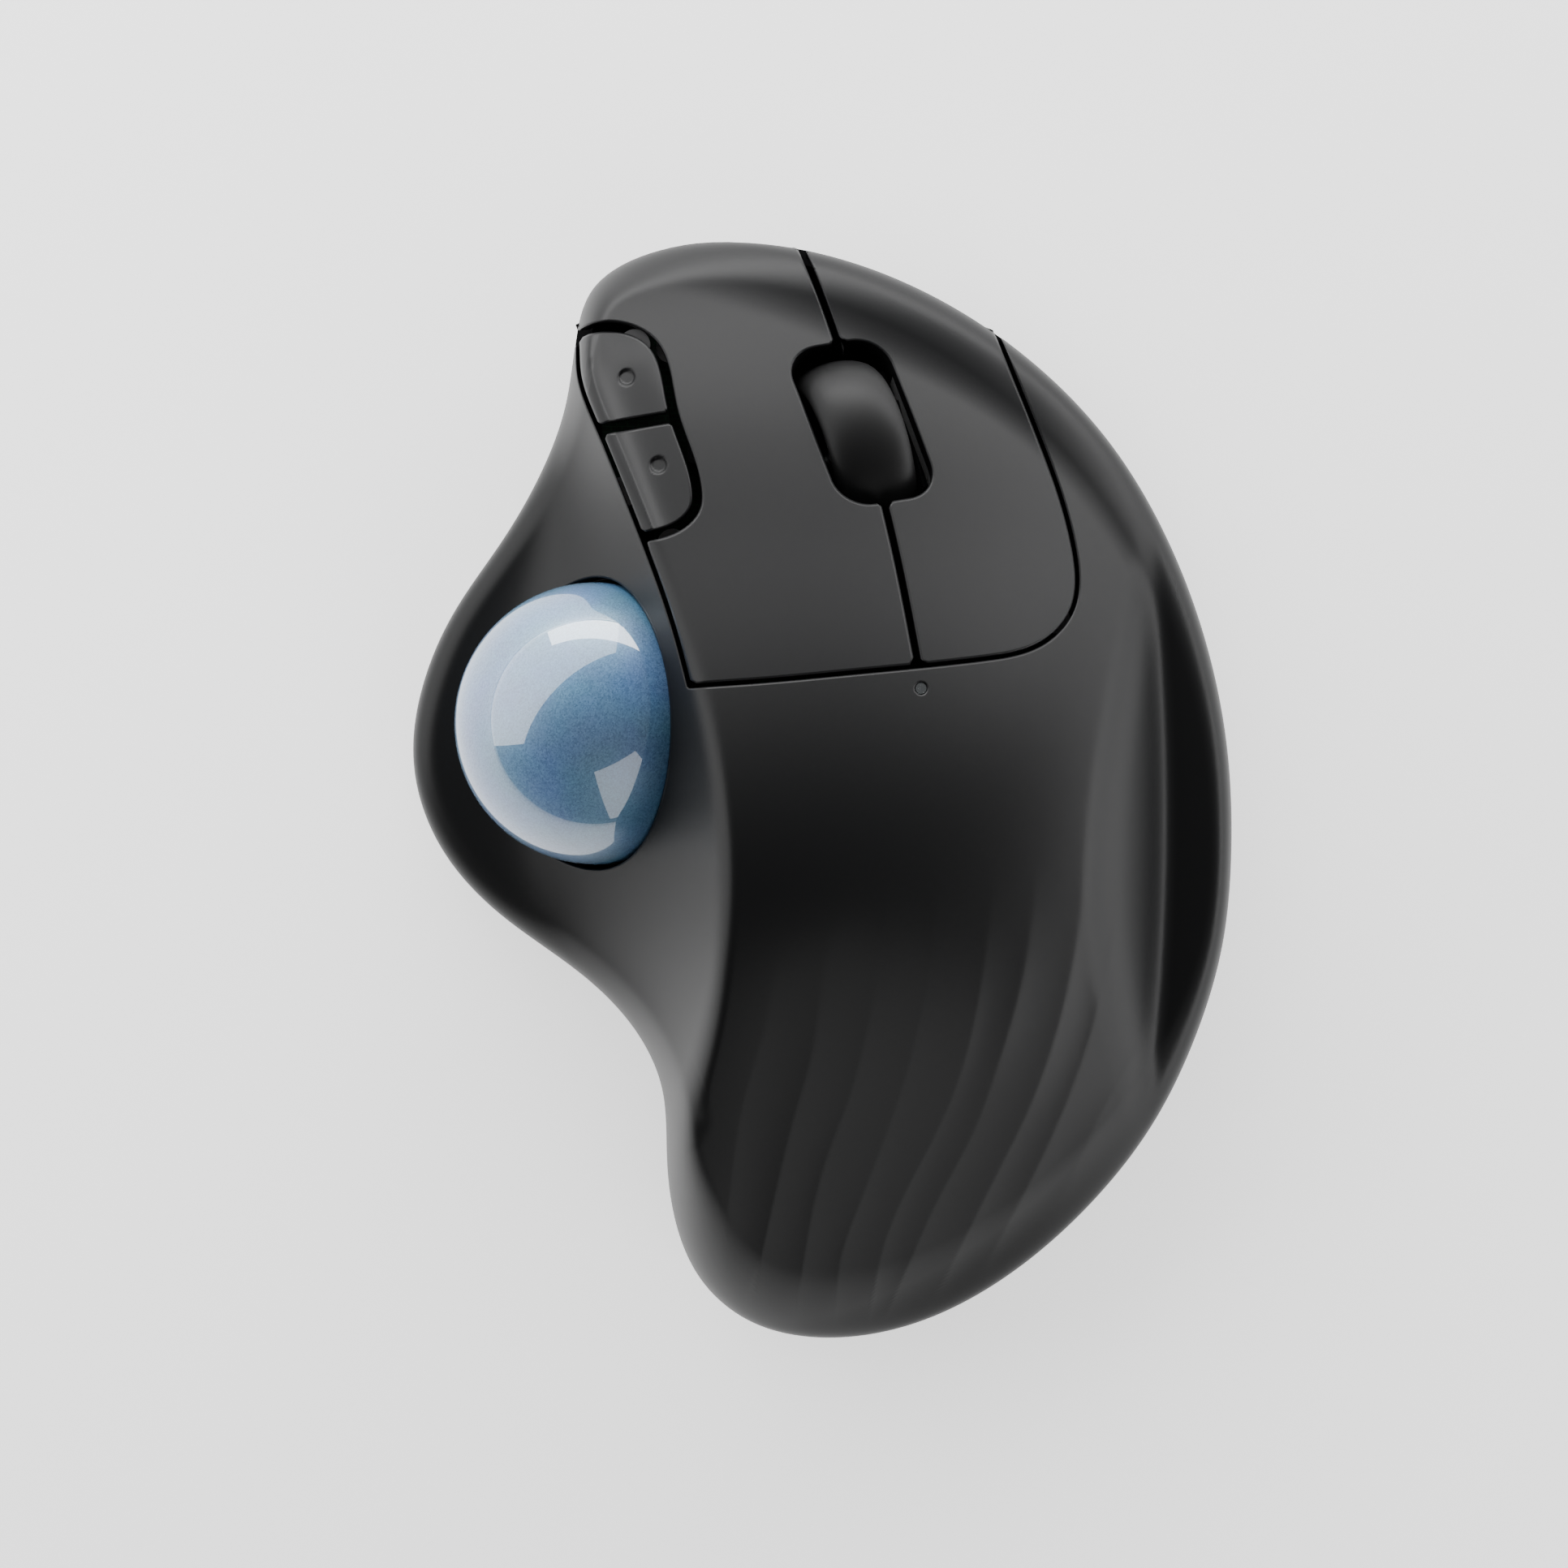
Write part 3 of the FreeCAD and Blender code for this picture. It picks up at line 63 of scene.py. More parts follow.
# Outline of the housing at its widest, and the seams of its top.
OUTLINE = [
    (-11.5, 67), (3, 64.7), (15, 59.6), (26, 52), (35, 42.6), (42, 31), (46.9, 18), (49.6, 4), (50, -7),
    (48.9, -19), (45.6, -30.2), (40.3, -41), (32.6, -50.8), (22.8, -59.3), (12, -65), (0.5, -67),
    (-8.8, -65), (-14.9, -59.8), (-17.9, -53), (-19, -45), (-19.6, -36.5), (-22.8, -29.5), (-29.8, -22.3),
    (-39.2, -15.4), (-46.5, -7.3), (-50, 3.5), (-48.8, 13), (-45, 21.8), (-39.4, 30.1), (-34.4, 38.8),
    (-31.4, 47), (-30.2, 54.5), (-28.2, 61), (-22, 65.3),
]
THUMB_SEAM = [(-31.6, 59), (-30, 55.6), (-29.5, 50.8), (-27.1, 43.7), (-21.7, 30.4), (-17.6, 18.9),
              (-15.8, 12.2)]
REAR_SEAM = [(-15.8, 12.2), (-7.3, 12.8), (4.1, 13.9), (19.3, 15.6), (26.1, 17.5), (29.9, 21.6),
             (30.2, 29.6), (26.8, 41.3), (21.3, 55.6), (18.8, 63)]
SPLIT_SEAM = [(-4.3, 70), (-0.5, 60.7), (4.7, 44.3), (8.6, 28.5), (11.2, 14.7)]
SIDE_SEAM = [(-31.5, 54.6), (-25.1, 55.9), (-20.9, 54.1), (-18.1, 45.8), (-15.1, 35.7), (-15.2, 33.7),
             (-16.7, 31.7), (-22.6, 29.9)]
PAIR_SEAM = [(-28.4, 42.7), (-26.6, 43.1), (-18.2, 44.6), (-16.8, 44.8)]
PANEL_GAP = 0.45
SPLIT_GAP = 0.75
SIDE_GAP = 1.1
PAIR_GAP = 1.3
# Two corners well ahead of the housing, which close the buttons' zones there.
AHEAD = np.array([(40, 90), (-40, 90)])
# The stretch of the plan that holds both side buttons.
POCKET_BACK, POCKET_FRONT, POCKET_RIGHT = 27.5, 58, -13.0

# ---------------------------------------------------------------- the holes in the panels
LAMP = (11.5, 12.0)
LAMP_RADIUS = 0.7
BALL = np.array([-27.4, 8.0, 21.7])
BALL_RADIUS = 17.0
BALL_GAP = 0.6
SLOT = np.array([4.7, 44.3, 23.0])
SLOT_HALF = (6.4, 11.3)
SLOT_CORNER = 4.2
# The wheel is yawed and tilted sideways; its slot also leans forward with the buttons' slope.
WHEEL_YAW, WHEEL_TILT, SLOT_LEAN = (math.radians(angle) for angle in (13.9, 14, -25))
WHEEL_TURN = Matrix.Rotation(WHEEL_YAW, 3, "Z") @ Matrix.Rotation(WHEEL_TILT, 3, "Y")
SLOT_TURN = WHEEL_TURN @ Matrix.Rotation(SLOT_LEAN, 3, "X")


# ---------------------------------------------------------------- curves
def cubic(knots, values, periodic=False):
    """Second derivatives of the cubic spline through the values, natural or closed."""
    count = len(knots)
    gap = np.diff(knots)
    rows = np.zeros((count, count))
    right = np.zeros((count,) + values.shape[1:])
    for i in range(1, count - 1):
        rows[i, i - 1:i + 2] = gap[i - 1], 2 * (gap[i - 1] + gap[i]), gap[i]
        right[i] = 6 * ((values[i + 1] - values[i]) / gap[i] - (values[i] - values[i - 1]) / gap[i - 1])
    rows[0, 0] = rows[-1, -1] = 1
    if periodic:
        rows[0, 0], rows[0, 1], rows[0, -2] = 2 * (gap[0] + gap[-1]), gap[0], gap[-1]
        right[0] = 6 * ((values[1] - values[0]) / gap[0] - (values[0] - values[-2]) / gap[-1])
        rows[-1, 0] = -1
    return np.linalg.solve(rows, right)


def spline_at(knots, values, bends, t):
    """The spline's values at the places t."""
    i = np.clip(np.searchsorted(knots, t, side="right") - 1, 0, len(knots) - 2)
    gap = knots[i + 1] - knots[i]
    after = t - knots[i]
    before = knots[i + 1] - t
    if values.ndim > 1:
        gap, after, before = gap[:, None], after[:, None], before[:, None]
    bend = (bends[i] * before ** 3 + bends[i + 1] * after ** 3) / (6 * gap)
    first = (values[i] / gap - bends[i] * gap / 6) * before
    last = (values[i + 1] / gap - bends[i + 1] * gap / 6) * after
    return bend + first + last


def profile(points):
    """Smooth curve y(x) through the points, straight beyond its ends."""
    knots = np.array([x for x, _ in points], float)
    values = np.array([y for _, y in points], float)
    bends = cubic(knots, values)
    gap = np.diff(knots)
    first = (values[1] - values[0]) / gap[0] - gap[0] * bends[1] / 6
    last = (values[-1] - values[-2]) / gap[-1] + gap[-1] * bends[-2] / 6

    def evaluate(x):
        x = np.asarray(x, float)
        inside = spline_at(knots, values, bends, np.clip(x, knots[0], knots[-1]).ravel()).reshape(x.shape)
        return inside + first * np.minimum(0, x - knots[0]) + last * np.maximum(0, x - knots[-1])

    return evaluate


def plan_curve(points, samples, closed=False):
    """Points along the smooth plan curve through the given points."""
    values = np.array(points + points[:1] if closed else points, float)
    knots = np.concatenate([[0], np.cumsum(np.hypot(*np.diff(values, axis=0).T))])
    bends = cubic(knots, values, closed)
    return spline_at(knots, values, bends, np.linspace(0, knots[-1], samples, endpoint=not closed))


def distance(x, y, line, closed=False):
    """Distance in plan from each point to a polyline."""
    start = line if closed else line[:-1]
    stop = np.roll(line, -1, axis=0) if closed else line[1:]
    way = stop - start
    size = (way ** 2).sum(axis=1)
    out = np.empty(x.size)
    flat_x, flat_y = x.ravel(), y.ravel()
    for low in range(0, x.size, 4096):
        px = flat_x[low:low + 4096, None] - start[:, 0]
        py = flat_y[low:low + 4096, None] - start[:, 1]
        share = np.clip((px * way[:, 0] + py * way[:, 1]) / size, 0, 1)
        out[low:low + 4096] = ((px - share * way[:, 0]) ** 2 + (py - share * way[:, 1]) ** 2).min(axis=1)
    return np.sqrt(out).reshape(x.shape)


def inside(x, y, ring):
    """Whether each point lies inside a closed polyline."""
    found = np.zeros(x.shape, bool)
    for (ax, ay), (bx, by) in zip(ring, np.roll(ring, -1, axis=0)):
        if ay != by:
            found ^= ((ay > y) != (by > y)) & (x < (bx - ax) * (y - ay) / (by - ay) + ax)
    return found


# ---------------------------------------------------------------- the sculpted height surface
# Place and height over the seam of the ridge, as curves of y.
crest_x = profile([(-67, -2), (-60, -12), (-50, -16.5), (-41, -16.5), (-29, -13.6), (-14, -11.6),
                   (0, -12.4), (12, -14.8), (29, -20.6), (43, -26.4), (55, -29.6), (67, -31)])
crest_z = profile([(-67, 5), (-62, 10.5), (-55, 17), (-45, 25), (-35, 31.5), (-25, 36), (-15, 38.6),
                   (-8, 39), (0, 38), (12, 34), (30, 25.5), (45, 18), (56, 11.5), (62, 8), (67, 5.5)])
# The thumb side: its height at the left edge as a share of the ridge, and how hollow it is between.
edge_share = profile([(-67, 1.6), (-50, 1.5), (-42, 1), (-36, 0.6), (-30, 0.35), (-20, 0.14), (8, 0.09),
                      (35, 0.15), (45, 0.4), (50, 0.7), (55, 1.1), (60, 1.5), (67, 1.6)])
hollow = profile([(-67, 1), (-40, 1.1), (-20, 1.7), (8, 2.3), (35, 1.8), (50, 1.2), (67, 1)])
# Width of the rounded edge along the outline, left and right.
roll_left = profile([(-67, 9), (-60, 9), (-52, 7.5), (-45, 5), (-38, 3.8), (-30, 3.6), (-15, 3.5), (8, 3.2),
                     (30, 3), (45, 3), (55, 3.3), (62, 5), (67, 6.5)])
roll_right = profile([(-67, 9), (-60, 9), (-45, 7), (-30, 4), (0, 3), (30, 4.5), (50, 6), (67, 6.5)])
# Lines that sweep back over the palm, as points (y, x); the surface between two is slightly hollow.
FLUTE_LINES = [
    [(-48.7, -11.2), (-34.4, -8.8), (-29.4, -7.3), (-21.5, -5.8)],
    [(-48.7, -5.8), (-38.3, -3.3), (-30.9, -1.3), (-20.5, 0.15), (-14.6, 1.6)],
    [(-56.7, -2.3), (-50.7, -1.3), (-43.3, 0.6), (-36.3, 3.1), (-28.4, 5.1), (-19.5, 6.8), (-9.6, 7.3)],
    [(-62.1, 1.6), (-56.7, 2.1), (-50.2, 4.1), (-43.3, 6.6), (-35.9, 9.1), (-25.9, 11.5), (-12.1, 13.3)],
    [(-61.1, 6.1), (-55.7, 7.1), (-48.7, 9.6), (-42.8, 12.5), (-34.4, 16), (-25.9, 18), (-16, 19.5)],
    [(-55.7, 11), (-48.7, 14), (-41.8, 17.5), (-33.4, 20.5), (-23, 23.4), (-13.1, 24.9)],
    [(-55.7, 16.5), (-46.2, 20.9), (-38.8, 24.4), (-28.9, 27.9), (-18.5, 30.1), (-6.6, 31.3), (4.8, 31.8)],
    [(-51.7, 22.9), (-43.3, 26.9), (-33.4, 30.8), (-22.5, 33.8), (-11.6, 35.8), (2.8, 37.3)],
    [(-46.7, 30.4), (-38.8, 33.8), (-30.9, 38.3)],
]
# Where along y each flute starts and where it has its full depth.
FLUTE_FADE = [(-16, -34), (-10, -32), (-8, -32), (-8, -32), (-8, -32), (-4, -30), (6, -26), (-26, -38)]
FLUTE_DEPTH = 0.22
FLUTE_EDGE, FLUTE_EDGE_FADE = 0.8, 7
flute_lines = [profile(points) for points in FLUTE_LINES]
DOME_POWER = 0.85
DOME_OVERHANG = 1
# The slope down to the shelf on the right: where its foot stands, and how it sweeps inwards along y.
SHELF_FOOT = (43.8, -3.0, 38.0, 2.5)
SHELF_SLOPE = 2.05
SHELF_HEIGHT = 3.5
SHELF_RISE = 1.5
SHELF_BLEND = 3.5
SHELF_LEVEL_BLEND = 3
# Extra height of the thumb side where its edge is high: the slope, and the edge share that brings it in.
THUMB_SLOPE, THUMB_STEEP_SHARE, THUMB_STEEP_FADE = 2, 0.75, 0.4
# Blend between palm and thumb side: a sharp ridge that softens towards the back.
RIDGE_BLEND, RIDGE_SOFTENING, RIDGE_SOFT_Y, RIDGE_FADE = 3, 4, -18, 20
# The side buttons: a flat strip along the thumb seam, a finger hollow beyond it, and a round dot in each.
SIDE_DOTS = [(-23.6, 49.6), (-19.7, 38.8)]
DOT_DEPTH, DOT_RADIUS, DOT_EDGE = 0.35, 1.1, 0.3
DISH_DEPTH = 1.1
STRIP_WIDTH, DISH_WIDTH = 1.6, 7.4

outline = plan_curve(OUTLINE, 720, closed=True)
FRONT = int(outline[:, 1].argmax())
BACK = int(outline[:, 1].argmin())


def outline_side(first, last):
    """The outline's points from one index on to another."""
    index = np.arange(first, last + (len(outline) if last < first else 0) + 1) % len(outline)
    return outline[index]


right_side = outline_side(FRONT, BACK)[::-1]
left_side = outline_side(BACK, FRONT)


def smooth_step(t):
    """0 below 0, 1 above 1, and an S-curve between."""
    t = np.clip(t, 0, 1)
    return t * t * (3 - 2 * t)


def smooth_min(a, b, blend):
    """The lower of two, rounded where they are within a blend of each other."""
    t = np.clip(0.5 + 0.5 * (b - a) / blend, 0, 1)
    return b + (a - b) * t - blend * t * (1 - t)


def smooth_max(a, b, blend):
    """The higher of two, rounded in the same way."""
    return -smooth_min(-a, -b, blend)


def sides(y):
    """The outline's left and right x."""
    left = np.interp(y, left_side[:, 1], left_side[:, 0])
    return left, np.interp(y, right_side[:, 1], right_side[:, 0])


def flutes(x, y, depth):
    """Shallow hollows between the palm's sweeping lines, which meet at the lines in soft cusps."""
    out = np.zeros(np.shape(x))
    lines = [line(y) for line in flute_lines]
    for (start, full), first, second in zip(FLUTE_FADE, lines[:-1], lines[1:]):
        share = np.clip((x - first) / np.maximum(1, second - first), 0, 1)
        out -= smooth_step((start - y) / (start - full)) * 4 * share * (1 - share)
    return FLUTE_DEPTH * out * smooth_step((depth - FLUTE_EDGE) / FLUTE_EDGE_FADE)


def palm_height(x, y, ridge, right):
    """The dome from the ridge to the right, and the slope that cuts it off above the shelf."""
    across = np.maximum(0, (x - ridge) / (right + DOME_OVERHANG - ridge))
    dome = crest_z(y) * np.maximum(0, 1 - across ** 2) ** DOME_POWER
    foot_x, foot_y, foot_span, foot_sweep = SHELF_FOOT
    foot = foot_x - foot_sweep * ((y - foot_y) / foot_span) ** 2
    return smooth_min(dome, SHELF_SLOPE * (foot - x), SHELF_BLEND)


def thumb_height(x, y, ridge, left):
    """The hollow side from the left edge up to the ridge, carried on beyond it."""
    high = crest_z(y)
    low = edge_share(y) * high
    share = np.maximum(0, (x - left) / (ridge - left))
    power = hollow(y)
    rise = np.where(share < 1, share ** power, 1 + power * (share - 1))
    steepness = smooth_step((edge_share(y) - THUMB_STEEP_SHARE) / THUMB_STEEP_FADE)
    return low + np.maximum(0, high - low) * rise + THUMB_SLOPE * np.maximum(0, x - left) * steepness


def shelf_height(x, y):
    """The least height, which rises a little to the right and to the front."""
    return SHELF_HEIGHT + SHELF_RISE * smooth_step((x + 30) / 40) + SHELF_RISE * smooth_step((y - 35) / 25)


def height(x, y):
    """Height of the housing's outer surface over the desk."""
    left, right = sides(y)
    ridge = crest_x(y)
    blend = RIDGE_BLEND + RIDGE_SOFTENING * smooth_step((RIDGE_SOFT_Y - y) / RIDGE_FADE)
    body = smooth_min(palm_height(x, y, ridge, right), thumb_height(x, y, ridge, left), blend)
    body = smooth_max(body, shelf_height(x, y), SHELF_LEVEL_BLEND)
    rightness = smooth_step((x - left) / np.maximum(TINY, right - left))
    roll = np.maximum(1, roll_left(y) + (roll_right(y) - roll_left(y)) * rightness)
    depth = distance(x, y, outline, closed=True)
    short = np.clip(1 - depth / roll, 0, 1)
    return SEAM_Z + body * np.sqrt(1 - short ** 2) + flutes(x, y, depth)


def dish(x, y):
    """Finger hollow of the two side buttons beyond the strip along the thumb seam, and their round dots."""
    share = np.clip((distance(x, y, seam_lines["thumb"]) - STRIP_WIDTH) / DISH_WIDTH, 0, 1)
    deepest = 4 / 27
    out = -DISH_DEPTH / deepest * share * (1 - share) ** 2
    for dot_x, dot_y in SIDE_DOTS:
        out = out - DOT_DEPTH * smooth_step((DOT_RADIUS - np.hypot(x - dot_x, y - dot_y)) / DOT_EDGE)
    return out


def side_height(x, y):
    """Height of the side buttons' outer surface."""
    return height(x, y) + dish(x, y)


# ---------------------------------------------------------------- the grid that all panels are cut from
# Width of the finely divided band along the back and front, and along the sides.
END_BAND, SIDE_BAND, SIDE_BAND_SHARE, POCKET_BAND = 9.0, 6.0, 0.2, 3.0
# How far inside the outline's ends the first and last rows lie.
END_GAP = 0.002


def detail(fine):
    return fine


def stations(low, high, band, edge_steps, middle_steps):
    """Places from low to high: crowded towards both ends, even in between."""
    turn = 1 - np.cos(np.linspace(0, math.pi / 2, edge_steps + 1))
    first = low[..., None] + band * turn
    last = high[..., None] - band * turn[::-1]
    share = np.linspace(0, 1, middle_steps + 1)[1:-1]
    middle = first[..., -1:] + (last[..., :1] - first[..., -1:]) * share
    return np.concatenate([first, middle, last], axis=-1)


def whole_grid():
    """Places in plan over the whole top, row by row from the back to the front."""
    low = np.array(outline[:, 1].min() + END_GAP)
    high = np.array(outline[:, 1].max() - END_GAP)
    edge_steps = detail(22)
    rows = stations(low, high, END_BAND, edge_steps, detail(230))
    left, right = sides(rows)
    band = np.minimum(SIDE_BAND, SIDE_BAND_SHARE * (right - left))[:, None]
    x = stations(left, right, band, edge_steps, detail(180))
    return x, np.repeat(rows[:, None], x.shape[1], axis=1)


def side_grid():
    """Places in plan over the two side buttons."""
    rows = np.linspace(POCKET_BACK, POCKET_FRONT, detail(150))
    left, _ = sides(rows)
    x = stations(left, np.full(rows.shape, POCKET_RIGHT), POCKET_BAND, 10, detail(80))
    return x, np.repeat(rows[:, None], x.shape[1], axis=1)


def lifted(plan, surface, whole):
    """Points, normals and faces of a surface over a grid of places in plan."""
    x, y = plan
    edge = np.zeros(x.shape, bool)
    edge[:, 0] = True
    if whole:
        edge[:, -1] = edge[0, :] = edge[-1, :] = True
    points = np.stack([x, y, np.where(edge, SEAM_Z, surface(x, y))], axis=-1)
    along = np.gradient(points, axis=0)
    across = np.gradient(points, axis=1)
    normal = np.cross(across, along)
    normal /= np.maximum(TINY, np.linalg.norm(normal, axis=-1, keepdims=True))
    level = normal * (1, 1, 0)
    level /= np.maximum(TINY, np.linalg.norm(level, axis=-1, keepdims=True))
    normal = np.where(edge[..., None], level, normal)
    index = np.arange(x.size).reshape(x.shape)
    corners = [index[:-1, :-1], index[:-1, 1:], index[1:, 1:], index[1:, :-1]]
    quads = np.stack(corners, axis=-1).reshape(-1, 4)
    return points.reshape(-1, 3), normal.reshape(-1, 3), quads


# ---------------------------------------------------------------- panels
seam_lines = {
    "thumb": plan_curve(THUMB_SEAM, 120), "rear": plan_curve(REAR_SEAM, 160),
    "split": plan_curve(SPLIT_SEAM, 80), "side": plan_curve(SIDE_SEAM, 120),
    "pair": plan_curve(PAIR_SEAM, 40),
}
GAPS = {"thumb": PANEL_GAP, "rear": PANEL_GAP, "split": SPLIT_GAP, "side": SIDE_GAP, "pair": PAIR_GAP}


def nearest(line, point):
    """Index of the line's point nearest to a place."""
    return int(((line - point) ** 2).sum(axis=1).argmin())


def zones():
    """Closed lines in plan round both main buttons, each of them, and the side buttons' pocket."""
    thumb, rear, split, side = (seam_lines[name] for name in ("thumb", "rear", "split", "side"))
    start, end = (nearest(thumb, corner) for corner in (side[0], side[-1]))
    split_end = nearest(rear, split[-1])
    return {
        "buttons": np.concatenate([thumb, rear, AHEAD]),
        "left": np.concatenate([thumb, rear[:split_end], split[::-1], AHEAD[1:]]),
        "right": np.concatenate([split, rear[split_end:], AHEAD[:1]]),
        "pocket": np.concatenate([side, thumb[start:end + 1][::-1]]),
    }


ZONES = zones()


def seam_field(x, y, zone, names):
    """Distance inside a zone from its seams' edges; negative outside it."""
    sign = np.where(zone(x, y), 1.0, -1.0)
    return np.min([sign * distance(x, y, seam_lines[name]) - GAPS[name] / 2 for name in names], axis=0)


def ball_field(x, y, z):
    """Distance outside the ball's opening."""
    away = np.sqrt((x - BALL[0]) ** 2 + (y - BALL[1]) ** 2 + (z - BALL[2]) ** 2)
    return away - BALL_RADIUS - BALL_GAP


def slot_field(x, y, z):
    """Distance outside the wheel's slot, a rounded rectangle in its own turned frame."""
    turn = np.array(SLOT_TURN)
    local = np.stack([x - SLOT[0], y - SLOT[1], z - SLOT[2]], axis=-1) @ turn
    over_x = np.abs(local[..., 0]) - SLOT_HALF[0] + SLOT_CORNER
    over_y = np.abs(local[..., 1]) - SLOT_HALF[1] + SLOT_CORNER
    outside = np.hypot(np.maximum(over_x, 0), np.maximum(over_y, 0))
    return outside + np.minimum(np.maximum(over_x, over_y), 0) - SLOT_CORNER


def cover_zone(x, y):
    return ~inside(x, y, ZONES["buttons"])


def left_zone(x, y):
    return inside(x, y, ZONES["left"]) & ~inside(x, y, ZONES["pocket"])


def right_zone(x, y):
    return inside(x, y, ZONES["right"])


def pocket_zone(forward):
    """The zone of one side button: ahead of the gap between the two, or behind it."""
    def zone(x, y):
        gap_y = np.interp(x, *seam_lines["pair"].T)
        return inside(x, y, ZONES["pocket"]) & ((y > gap_y) == forward)

    return zone


def lamp_field(x, y, z):
    """Distance outside the status light's hole, which is upright at every height z."""
    return np.hypot(x - LAMP[0], y - LAMP[1]) - LAMP_RADIUS


# Each panel: its zone in plan, the seams round it, and the holes in it.
PANELS = {
    "top_cover": (cover_zone, ("thumb", "rear"), ("ball", "lamp")),
    "left_button": (left_zone, ("thumb", "rear", "split", "side"), ("slot",)),
    "right_button": (right_zone, ("rear", "split"), ("slot",)),
    "forward_button": (pocket_zone(True), ("thumb", "side", "pair"), ()),
    "back_button": (pocket_zone(False), ("thumb", "side", "pair"), ()),
}
HOLES = {"ball": ball_field, "slot": slot_field, "lamp": lamp_field}

# A panel's edge: its rounding, the wall below it, and the clearance under the buttons.
COVER_EDGE_RADIUS, BUTTON_EDGE_RADIUS = 0.3, 0.35
COVER_THICKNESS, SIDE_BUTTON_THICKNESS = 1.8, 0.9
EDGE_ANGLES = np.radians([22, 45, 68, 90])
WALL_DEPTH, SLOT_WALL_DEPTH = 1.6, 3.52
BUTTON_CLEARANCE = 1.2
SEAM_OVERLAP = 0.2
# Near a seam the inner sheet lies straight under the outer one, except where the panel is steep.
UPRIGHT_WIDTH, UPRIGHT_TILT = 3, 0.4
# Least upward part of a normal where an edge is rounded, the step that probes the field, and its tolerance.
FLATTEST = 0.3
PROBE = 0.05
CUT_TOLERANCE = 1e-6


def panel_fields(name, x, y, z):
    """Distance inside the panel, and what bounds it there: 0 a seam, 1 its first hole, 2 its second."""
    zone, names, holes = PANELS[name]
    fields = [seam_field(x, y, zone, names)] + [HOLES[hole](x, y, z) for hole in holes]
    return np.min(fields, axis=0), np.argmin(fields, axis=0)


def clip(points, normals, faces, field, level):
    """Keep the part of a mesh where the field is over a level; new points lie on the level."""
    over = field > level
    kept = []
    crossing = []
    for width in {len(face) for face in faces}:
        group = np.array([face for face in faces if len(face) == width])
        count = over[group].sum(axis=1)
        kept += group[count == width].tolist()
        crossing += group[(count > 0) & (count < width)].tolist()
    new_points, new_normals, new_field, made = [], [], [], {}
    total = len(points)

    def crossing_point(a, b):
        key = (min(a, b), max(a, b))
        if key not in made:
            share = (level - field[key[0]]) / (field[key[1]] - field[key[0]])
            new_points.append(points[key[0]] * (1 - share) + points[key[1]] * share)
            new_normals.append(normals[key[0]] * (1 - share) + normals[key[1]] * share)
            new_field.append(level)
            made[key] = total + len(new_points) - 1
        return made[key]

    for face in crossing:
        ring = []
        for a, b in zip(face, face[1:] + face[:1]):
            if over[a]:
                ring.append(a)
            if over[a] != over[b]:
                ring.append(crossing_point(a, b))
        if len(ring) > 2:
            kept.append(ring)
    if new_points:
        points = np.concatenate([points, new_points])
        normals = np.concatenate([normals, new_normals])
        field = np.concatenate([field, new_field])
    return points, normals, kept, field


def compact(points, normals, faces, *others):
    """The same mesh without its unused points."""
    used = np.unique(np.concatenate([np.array(face) for face in faces]))
    place = np.full(len(points), -1)
    place[used] = np.arange(len(used))
    faces = [[int(place[i]) for i in face] for face in faces]
    return (points[used], normals[used], faces) + tuple(item[used] for item in others)


def largest_sheet(faces, count):
    """The faces of the largest connected sheet, without the crumbs a cut leaves beside it."""
    edges = np.array([edge for face in faces for edge in zip(face, face[1:] + face[:1])])
    group, before = np.arange(count), None
    while before is None or (group != before).any():
        before = group.copy()
        low = np.minimum(group[edges[:, 0]], group[edges[:, 1]])
        np.minimum.at(group, edges[:, 0], low)
        np.minimum.at(group, edges[:, 1], low)
        group = group[group]
    first = group[[face[0] for face in faces]]
    largest = np.bincount(first).argmax()
    return [face for face, sheet in zip(faces, first) if sheet == largest]


def border_edges(faces):
    """Edges with a face on one side only, in the direction of that face."""
    seen = {}
    for face in faces:
        for a, b in zip(face, face[1:] + face[:1]):
            if (b, a) in seen:
                del seen[(b, a)]
            else:
                seen[(a, b)] = True
    return list(seen)


def outer_sheet(name, grid, surface, edge_radius):
    """The panel's outer surface up to where its rounded edges start, and the field at its points."""
    points, normals, quads = grid
    field, _ = panel_fields(name, *points.T)
    points, normals, faces, field = clip(points, normals, quads.tolist(), field, edge_radius)
    points, normals, faces, field = compact(points, normals, faces, field)
    if name != "top_cover":
        over = points[:, 2] - SEAM_Z - BUTTON_CLEARANCE
        stacked = np.concatenate([normals, field[:, None]], axis=1)
        points, stacked, faces, _ = clip(points, stacked, faces, over, 0.0)
        normals, field = stacked[:, :3], stacked[:, 3]
        points, normals, faces, field = compact(points, normals, faces, field)
    faces = largest_sheet(faces, len(points))
    points, normals, faces, field = compact(points, normals, faces, field)
    on_cut = np.abs(field - edge_radius) < CUT_TOLERANCE
    points[on_cut, 2] = surface(points[:, 0], points[:, 1])[on_cut]
    normals /= np.maximum(TINY, np.linalg.norm(normals, axis=1, keepdims=True))
    return points, normals, faces, field, on_cut


def outward(name, surface, x, y):
    """Unit vectors in plan that point out of the panel over its nearest edge."""
    slope = []
    for dx, dy in ((PROBE, 0), (0, PROBE)):
        ahead, behind = (panel_fields(name, px, py, surface(px, py))[0]
                         for px, py in ((x + dx, y + dy), (x - dx, y - dy)))
        slope.append(behind - ahead)
    out = np.stack(slope, axis=1)
    return out / np.maximum(TINY, np.linalg.norm(out, axis=1, keepdims=True))


